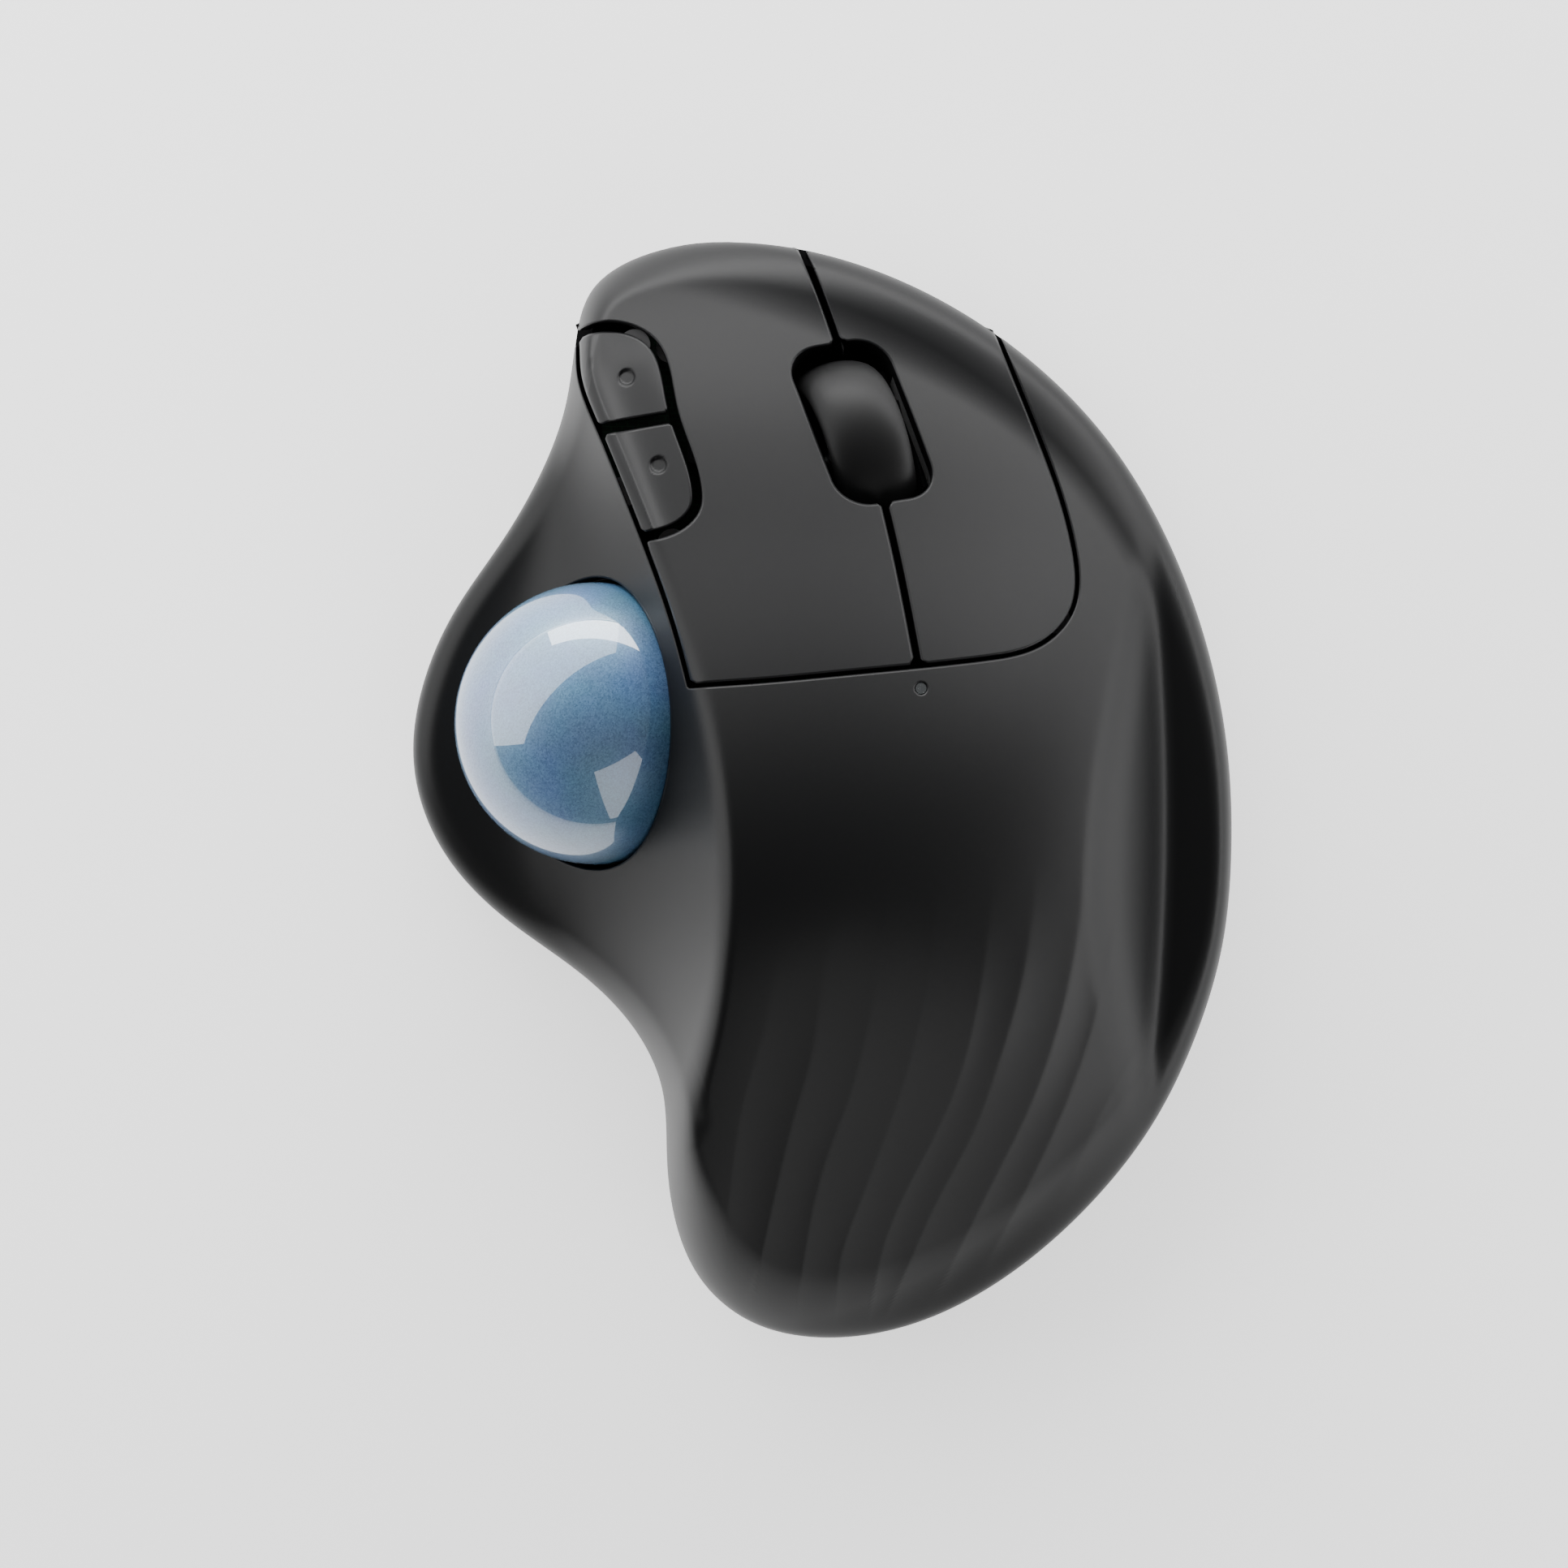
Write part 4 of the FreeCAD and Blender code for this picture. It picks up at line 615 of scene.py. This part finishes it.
def build_panel(name, grid, surface, edge_radius, thickness):
    """Outer sheet, rounded edges, walls and inner sheet of one panel, as one closed mesh."""
    points, normals, faces, field, on_cut = outer_sheet(name, grid, surface, edge_radius)
    at_seam = panel_fields(name, *points.T)[1] == 0
    near = smooth_step(1 - (field - edge_radius) / UPRIGHT_WIDTH)
    upright = (near * smooth_step(normals[:, 2] / UPRIGHT_TILT) * at_seam)[:, None]
    inward = np.array([0.0, 0.0, -1.0]) * upright - normals * (1 - upright)
    borders = border_edges(faces)
    rim = np.unique(np.array(borders))
    place = {int(vertex): i for i, vertex in enumerate(rim)}
    p, n, cut = points[rim], normals[rim], on_cut[rim][:, None]
    out = outward(name, surface, p[:, 0], p[:, 1])
    sideways = np.concatenate([out, np.zeros((len(out), 1))], axis=1)
    drop = edge_radius / np.maximum(FLATTEST, n[:, 2])
    rings, ring_normals = [p], [n]
    for angle in EDGE_ANGLES:
        q = p.copy()
        q[:, :2] += out * edge_radius * math.sin(angle) * cut
        q[:, 2] = np.where(on_cut[rim], surface(q[:, 0], q[:, 1]) - drop * (1 - math.cos(angle)), p[:, 2])
        turned = np.where(cut, n * math.cos(angle) + sideways * math.sin(angle), n)
        rings.append(q)
        ring_normals.append(turned / np.linalg.norm(turned, axis=1, keepdims=True))
    rings.append(wall_foot(name, rings[-1], p, n, on_cut[rim]))
    ring_normals.append(ring_normals[-1])
    return closed_shell(points, normals, faces, borders, place, rings, ring_normals, inward * thickness)


def wall_foot(name, top, p, n, cut):
    """Where the wall under the rounded edge ends: straight down, or along a hole's own direction."""
    bound = panel_fields(name, *p.T)[1]
    down = np.tile([0.0, 0.0, -1.0], (len(p), 1))
    depth = np.full(len(p), WALL_DEPTH)
    for index, hole in enumerate(PANELS[name][2], start=1):
        here = bound == index
        if hole == "slot":
            down[here] = -np.array(SLOT_TURN)[:, 2]
            depth[here] = SLOT_WALL_DEPTH
        elif hole == "ball":
            down[here] = -n[here]
    foot = top + down * (depth * cut)[:, None]
    foot[:, 2] = np.maximum(foot[:, 2], SEAM_Z - SEAM_OVERLAP)
    return foot


def closed_shell(points, normals, faces, borders, place, rings, ring_normals, inward):
    """Points, normals and faces of a shell: outer sheet, rings down its rim, and inner sheet."""
    count = len(points)
    size = len(rings[0])
    vertices = [points] + rings[1:] + [points + inward]
    vertex_normals = [normals] + ring_normals[1:] + [-normals]
    starts = [count + size * i for i in range(len(rings) - 1)]
    inner = count + size * (len(rings) - 1)
    all_faces = list(faces)
    all_faces += [[inner + vertex for vertex in reversed(face)] for face in faces]
    for a, b in borders:
        down_a, down_b = ([v] + [start + place[v] for start in starts] + [inner + v] for v in (a, b))
        for k in range(len(down_a) - 1):
            all_faces.append([down_b[k], down_a[k], down_a[k + 1], down_b[k + 1]])
    return np.concatenate(vertices), np.concatenate(vertex_normals), all_faces


def add_mesh(name, points, faces, normals=None):
    """A smooth-shaded object from points in millimetres."""
    mesh = bpy.data.meshes.new(name)
    mesh.from_pydata((points * MM).tolist(), [], faces)
    mesh.validate()
    mesh.polygons.foreach_set("use_smooth", [True] * len(mesh.polygons))
    obj = bpy.data.objects.new(name, mesh)
    bpy.context.collection.objects.link(obj)
    if normals is not None and len(normals) == len(mesh.vertices):
        mesh.normals_split_custom_set_from_vertices(normals.tolist())
    return obj


# ---------------------------------------------------------------- the pieces
# Half the tyre's section, as distances from the axle and along it.
TYRE_HALF = [(9.6, 5.0), (9.9, 5.0), (10.2, 4.9), (10.6, 4.6), (11.0, 4.15), (11.35, 3.5), (11.65, 2.7),
             (11.85, 1.8), (11.97, 0.9), (12.0, 0.0)]
TYRE_STEPS = 128


def add_tyre():
    """Crowned rubber tyre, turned about the wheel's axle."""
    ring = TYRE_HALF + [(r, -along) for r, along in reversed(TYRE_HALF[:-1])]
    spots = []
    for k in range(TYRE_STEPS):
        turn = 2 * math.pi * k / TYRE_STEPS
        spots += [(along, r * math.cos(turn), r * math.sin(turn)) for r, along in ring]
    low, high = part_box("wheel_tyre")
    centre = np.array(low + high) / (2 * MM)
    turned = np.array(spots) @ np.array(WHEEL_TURN).T + centre
    size = len(ring)
    faces = []
    for k in range(TYRE_STEPS):
        here, after = size * k, size * ((k + 1) % TYRE_STEPS)
        for i in range(size):
            j = (i + 1) % size
            faces.append([here + i, here + j, after + j, after + i])
    obj = add_mesh("tyre_tread", turned, faces)
    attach(obj, "wheel")
    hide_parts("wheel_tyre")
    return obj


def add_panels():
    """The housing's five curved panels, each in place of its CAD node."""
    whole = lifted(whole_grid(), height, True)
    side = lifted(side_grid(), side_height, False)
    made = {}
    for name in PANELS:
        radius = COVER_EDGE_RADIUS if name == "top_cover" else BUTTON_EDGE_RADIUS
        if name in ("forward_button", "back_button"):
            grid, surface, thickness = side, side_height, SIDE_BUTTON_THICKNESS
        else:
            grid, surface, thickness = whole, height, COVER_THICKNESS
        points, normals, faces = build_panel(name, grid, surface, radius, thickness)
        obj = add_mesh(name + "_skin", points, faces, normals)
        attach(obj, "root" if name == "top_cover" else name)
        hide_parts(name)
        made[name] = obj
    return made


# ---------------------------------------------------------------- materials
# The colour sockets of a mix node.
MIX_FIRST, MIX_SECOND, MIX_RESULT = 6, 7, 2


def new_material(name, color, roughness, **sockets):
    """A material and its shader, with uniform values set on the shader's own sockets."""
    material = bpy.data.materials.new(name)
    material.use_nodes = True
    shader = material.node_tree.nodes["Principled BSDF"]
    shader.inputs["Base Color"].default_value = (*color, 1)
    shader.inputs["Roughness"].default_value = roughness
    for socket, value in sockets.items():
        shader.inputs[socket.replace("_", " ")].default_value = value
    return material, shader


def add_node(material, kind, place=None, **values):
    """A node with its input values set; place is the node whose Object coordinates it follows."""
    node = material.node_tree.nodes.new(kind)
    for socket, value in values.items():
        node.inputs[socket.replace("_", " ")].default_value = value
    if place:
        material.node_tree.links.new(place.outputs["Object"], node.inputs["Vector"])
    return node


def add_mix(material, blend, factor=1.0):
    """A colour mix node."""
    node = material.node_tree.nodes.new("ShaderNodeMix")
    node.data_type = "RGBA"
    node.blend_type = blend
    node.inputs["Factor"].default_value = factor
    return node


def add_bump(material, shader, grain, depth, strength):
    """Fine relief over the whole surface; returns its noise."""
    place = add_node(material, "ShaderNodeTexCoord")
    noise = add_node(material, "ShaderNodeTexNoise", place, Scale=grain, Detail=2.0)
    bump = add_node(material, "ShaderNodeBump", Strength=strength, Distance=depth)
    material.node_tree.links.new(noise.outputs["Fac"], bump.inputs["Height"])
    material.node_tree.links.new(bump.outputs["Normal"], shader.inputs["Normal"])
    return noise


def plastic(name, color, roughness=0.5, shine=0.15, grain=9000.0, depth=0.00002, spread=0.12):
    """Moulded plastic with a fine spark-eroded texture and slight colour variation."""
    material, shader = new_material(name, color, roughness, Specular_IOR_Level=shine)
    links = material.node_tree.links
    noise = add_bump(material, shader, grain, depth, 0.25)
    shade = add_node(material, "ShaderNodeMapRange", To_Min=1 - spread, To_Max=1 + spread)
    links.new(noise.outputs["Fac"], shade.inputs["Value"])
    tint = add_mix(material, "MULTIPLY")
    tint.inputs[MIX_FIRST].default_value = (*color, 1)
    links.new(shade.outputs["Result"], tint.inputs[MIX_SECOND])
    links.new(tint.outputs[MIX_RESULT], shader.inputs["Base Color"])
    return material


def pearl(name):
    """Clear-coated blue resin with mica flecks."""
    material, shader = new_material(name, (0.06, 0.15, 0.28), 0.4, Metallic=0.2, Coat_Weight=1.0,
                                    Coat_Roughness=0.015, Coat_IOR=1.85)
    links = material.node_tree.links
    place = add_node(material, "ShaderNodeTexCoord")
    flecks = add_node(material, "ShaderNodeTexVoronoi", place, Scale=6000.0)
    cloud = add_node(material, "ShaderNodeTexNoise", place, Scale=120.0)
    blues = add_node(material, "ShaderNodeValToRGB")
    blues.color_ramp.elements[0].color = (0.035, 0.1, 0.2, 1)
    blues.color_ramp.elements[1].color = (0.1, 0.22, 0.38, 1)
    links.new(flecks.outputs["Color"], blues.inputs["Fac"])
    mix = add_mix(material, "SOFT_LIGHT", 0.35)
    links.new(blues.outputs["Color"], mix.inputs[MIX_FIRST])
    links.new(cloud.outputs["Color"], mix.inputs[MIX_SECOND])
    links.new(mix.outputs[MIX_RESULT], shader.inputs["Base Color"])
    return material


def metal(name, color, roughness):
    """Plated metal with fine brushing."""
    material, shader = new_material(name, color, roughness, Metallic=1.0)
    add_bump(material, shader, grain=4000.0, depth=0.000004, strength=0.15)
    return material


def clear(name, color):
    """Moulded clear plastic, slightly uneven."""
    material, shader = new_material(name, color, 0.08, Transmission_Weight=0.9, IOR=1.49)
    add_bump(material, shader, grain=900.0, depth=0.000002, strength=0.1)
    return material


def laminate(name, color):
    """Circuit board: solder mask with slightly lighter copper runs under it."""
    material, shader = new_material(name, color, 0.35)
    place = add_node(material, "ShaderNodeTexCoord")
    darker = (*(0.8 * part for part in color), 1)
    copper = (*(min(1, 2.2 * part) for part in color), 1)
    runs = add_node(material, "ShaderNodeTexBrick", place, Scale=380.0, Mortar_Size=0.03,
                    Color1=(*color, 1), Color2=darker, Mortar=copper)
    material.node_tree.links.new(runs.outputs["Color"], shader.inputs["Base Color"])
    return material


def sleeve(name, dark=(0.02, 0.022, 0.025), pale=(0.35, 0.36, 0.36), band=(-0.0092, -0.0090)):
    """Battery sleeve: dark, and pale ahead of where y in metres crosses the band."""
    material, shader = new_material(name, dark, 0.25)
    links = material.node_tree.links
    place = add_node(material, "ShaderNodeTexCoord")
    parts = add_node(material, "ShaderNodeSeparateXYZ", place)
    edge = add_node(material, "ShaderNodeMapRange", From_Min=band[0], From_Max=band[1])
    mix = add_mix(material, "MIX")
    mix.inputs[MIX_FIRST].default_value = (*dark, 1)
    mix.inputs[MIX_SECOND].default_value = (*pale, 1)
    links.new(parts.outputs["Y"], edge.inputs["Value"])
    links.new(edge.outputs["Result"], mix.inputs["Factor"])
    links.new(mix.outputs[MIX_RESULT], shader.inputs["Base Color"])
    return material


def make_finishes():
    """A material for each of the record's material slots."""
    return {
        "charcoal_cover": plastic("charcoal_cover", (0.005, 0.0051, 0.0054), 0.4),
        "charcoal_button": plastic("charcoal_button", (0.0055, 0.0056, 0.006), 0.4),
        "black_base": plastic("black_base", (0.004, 0.004, 0.0044), 0.45),
        "black_inner": plastic("black_inner", (0.006, 0.006, 0.0065), 0.5),
        "wheel_rubber": plastic("wheel_rubber", (0.005, 0.005, 0.0052), 0.46, 0.14, 5000.0, 0.00001),
        "foot_rubber": plastic("foot_rubber", (0.03, 0.03, 0.03), 0.65, 0.3, 3000.0),
        "receiver_black": plastic("receiver_black", (0.01, 0.01, 0.01), 0.3, 0.4),
        "switch_case": plastic("switch_case", (0.03, 0.03, 0.033), 0.4, 0.4),
        "switch_green": plastic("switch_green", (0.2, 0.45, 0.16), 0.4, 0.4),
        "ceramic": plastic("ceramic", (0.75, 0.75, 0.72), 0.15, 0.5, 800.0, 0.000002, 0.03),
        "pearl_blue": pearl("pearl_blue"),
        "clear_lens": clear("clear_lens", (0.3, 0.32, 0.33)),
        "circuit_board": laminate("circuit_board", (0.004, 0.03, 0.012)),
        "battery_wrap": sleeve("battery_wrap"),
        "contact_metal": metal("contact_metal", (0.7, 0.68, 0.62), 0.3),
        "screw_steel": metal("screw_steel", (0.5, 0.5, 0.51), 0.35),
    }


def paint(obj, material):
    """Give the whole object one material."""
    obj.data.materials.clear()
    obj.data.materials.append(material)


# ---------------------------------------------------------------- stage, in metres
# Soft studio lights: name, place, size, power, and the point that each faces.
LIGHTS = [
    ("window_panel", (-0.25, 0.24, 0.185), (1.1, 0.36), 5.4, (-0.02, 0.01, 0.14)),
    ("front_panel", (0.1, 0.5, 0.1), (0.9, 0.18), 6.5, (0, 0, 0.04)),
    ("fill_panel", (0.2, -0.42, 0.3), (0.4, 0.5), 1.3, (-0.01, 0, 0.08)),
    ("rim_panel", (0.4, 0, 0.035), (0.7, 0.05), 1.5, (0, 0, 0.03)),
]
FLOOR_SIZE = 6
CAMERA_PLACE = (-0.0047, 0.0007, 0.877)
CAMERA_LENS, CAMERA_SENSOR = 163, 36


def add_floor():
    """A plain pale floor that glows a little, as under a product on a light table."""
    bpy.ops.mesh.primitive_plane_add(size=FLOOR_SIZE)
    floor = bpy.context.object
    floor.name = "floor"
    material, _ = new_material("floor_white", (0.9, 0.9, 0.9), 0.8,
                               Emission_Color=(1, 1, 1, 1), Emission_Strength=1.1)
    floor.data.materials.append(material)


def add_area(name, at, size, power, target):
    """A rectangular light at a place, facing a target."""
    light = bpy.data.lights.new(name, "AREA")
    light.shape = "RECTANGLE"
    light.size, light.size_y = size
    light.energy = power
    obj = bpy.data.objects.new(name, light)
    obj.location = at
    obj.rotation_euler = (Vector(target) - Vector(at)).to_track_quat("-Z", "Y").to_euler()
    bpy.context.collection.objects.link(obj)


def add_camera():
    """A long lens straight above the housing, looking down."""
    data = bpy.data.cameras.new("camera")
    data.lens = CAMERA_LENS
    data.sensor_width = CAMERA_SENSOR
    camera = bpy.data.objects.new("camera", data)
    camera.location = CAMERA_PLACE
    bpy.context.collection.objects.link(camera)
    bpy.context.scene.camera = camera


def add_world():
    """Even white light from all round."""
    world = bpy.data.worlds.new("world")
    world.use_nodes = True
    background = world.node_tree.nodes["Background"]
    background.inputs["Color"].default_value = (1, 1, 1, 1)
    background.inputs["Strength"].default_value = 0.2
    bpy.context.scene.world = world


def build():
    """Every piece with its finish, then the stage, the lights and the camera."""
    finishes = make_finishes()
    slot_of = {part["node"]: part["material_slot"] for part in frame["record"]["subparts"]}
    for name, obj in frame["nodes"].items():
        paint(obj, finishes[slot_of[name]])
    for name, obj in add_panels().items():
        slot = "charcoal_cover" if name == "top_cover" else "charcoal_button"
        paint(obj, finishes[slot])
    tyre = add_tyre()
    paint(tyre, finishes["wheel_rubber"])
    add_floor()
    add_world()
    for light in LIGHTS:
        add_area(*light)
    add_camera()


build()
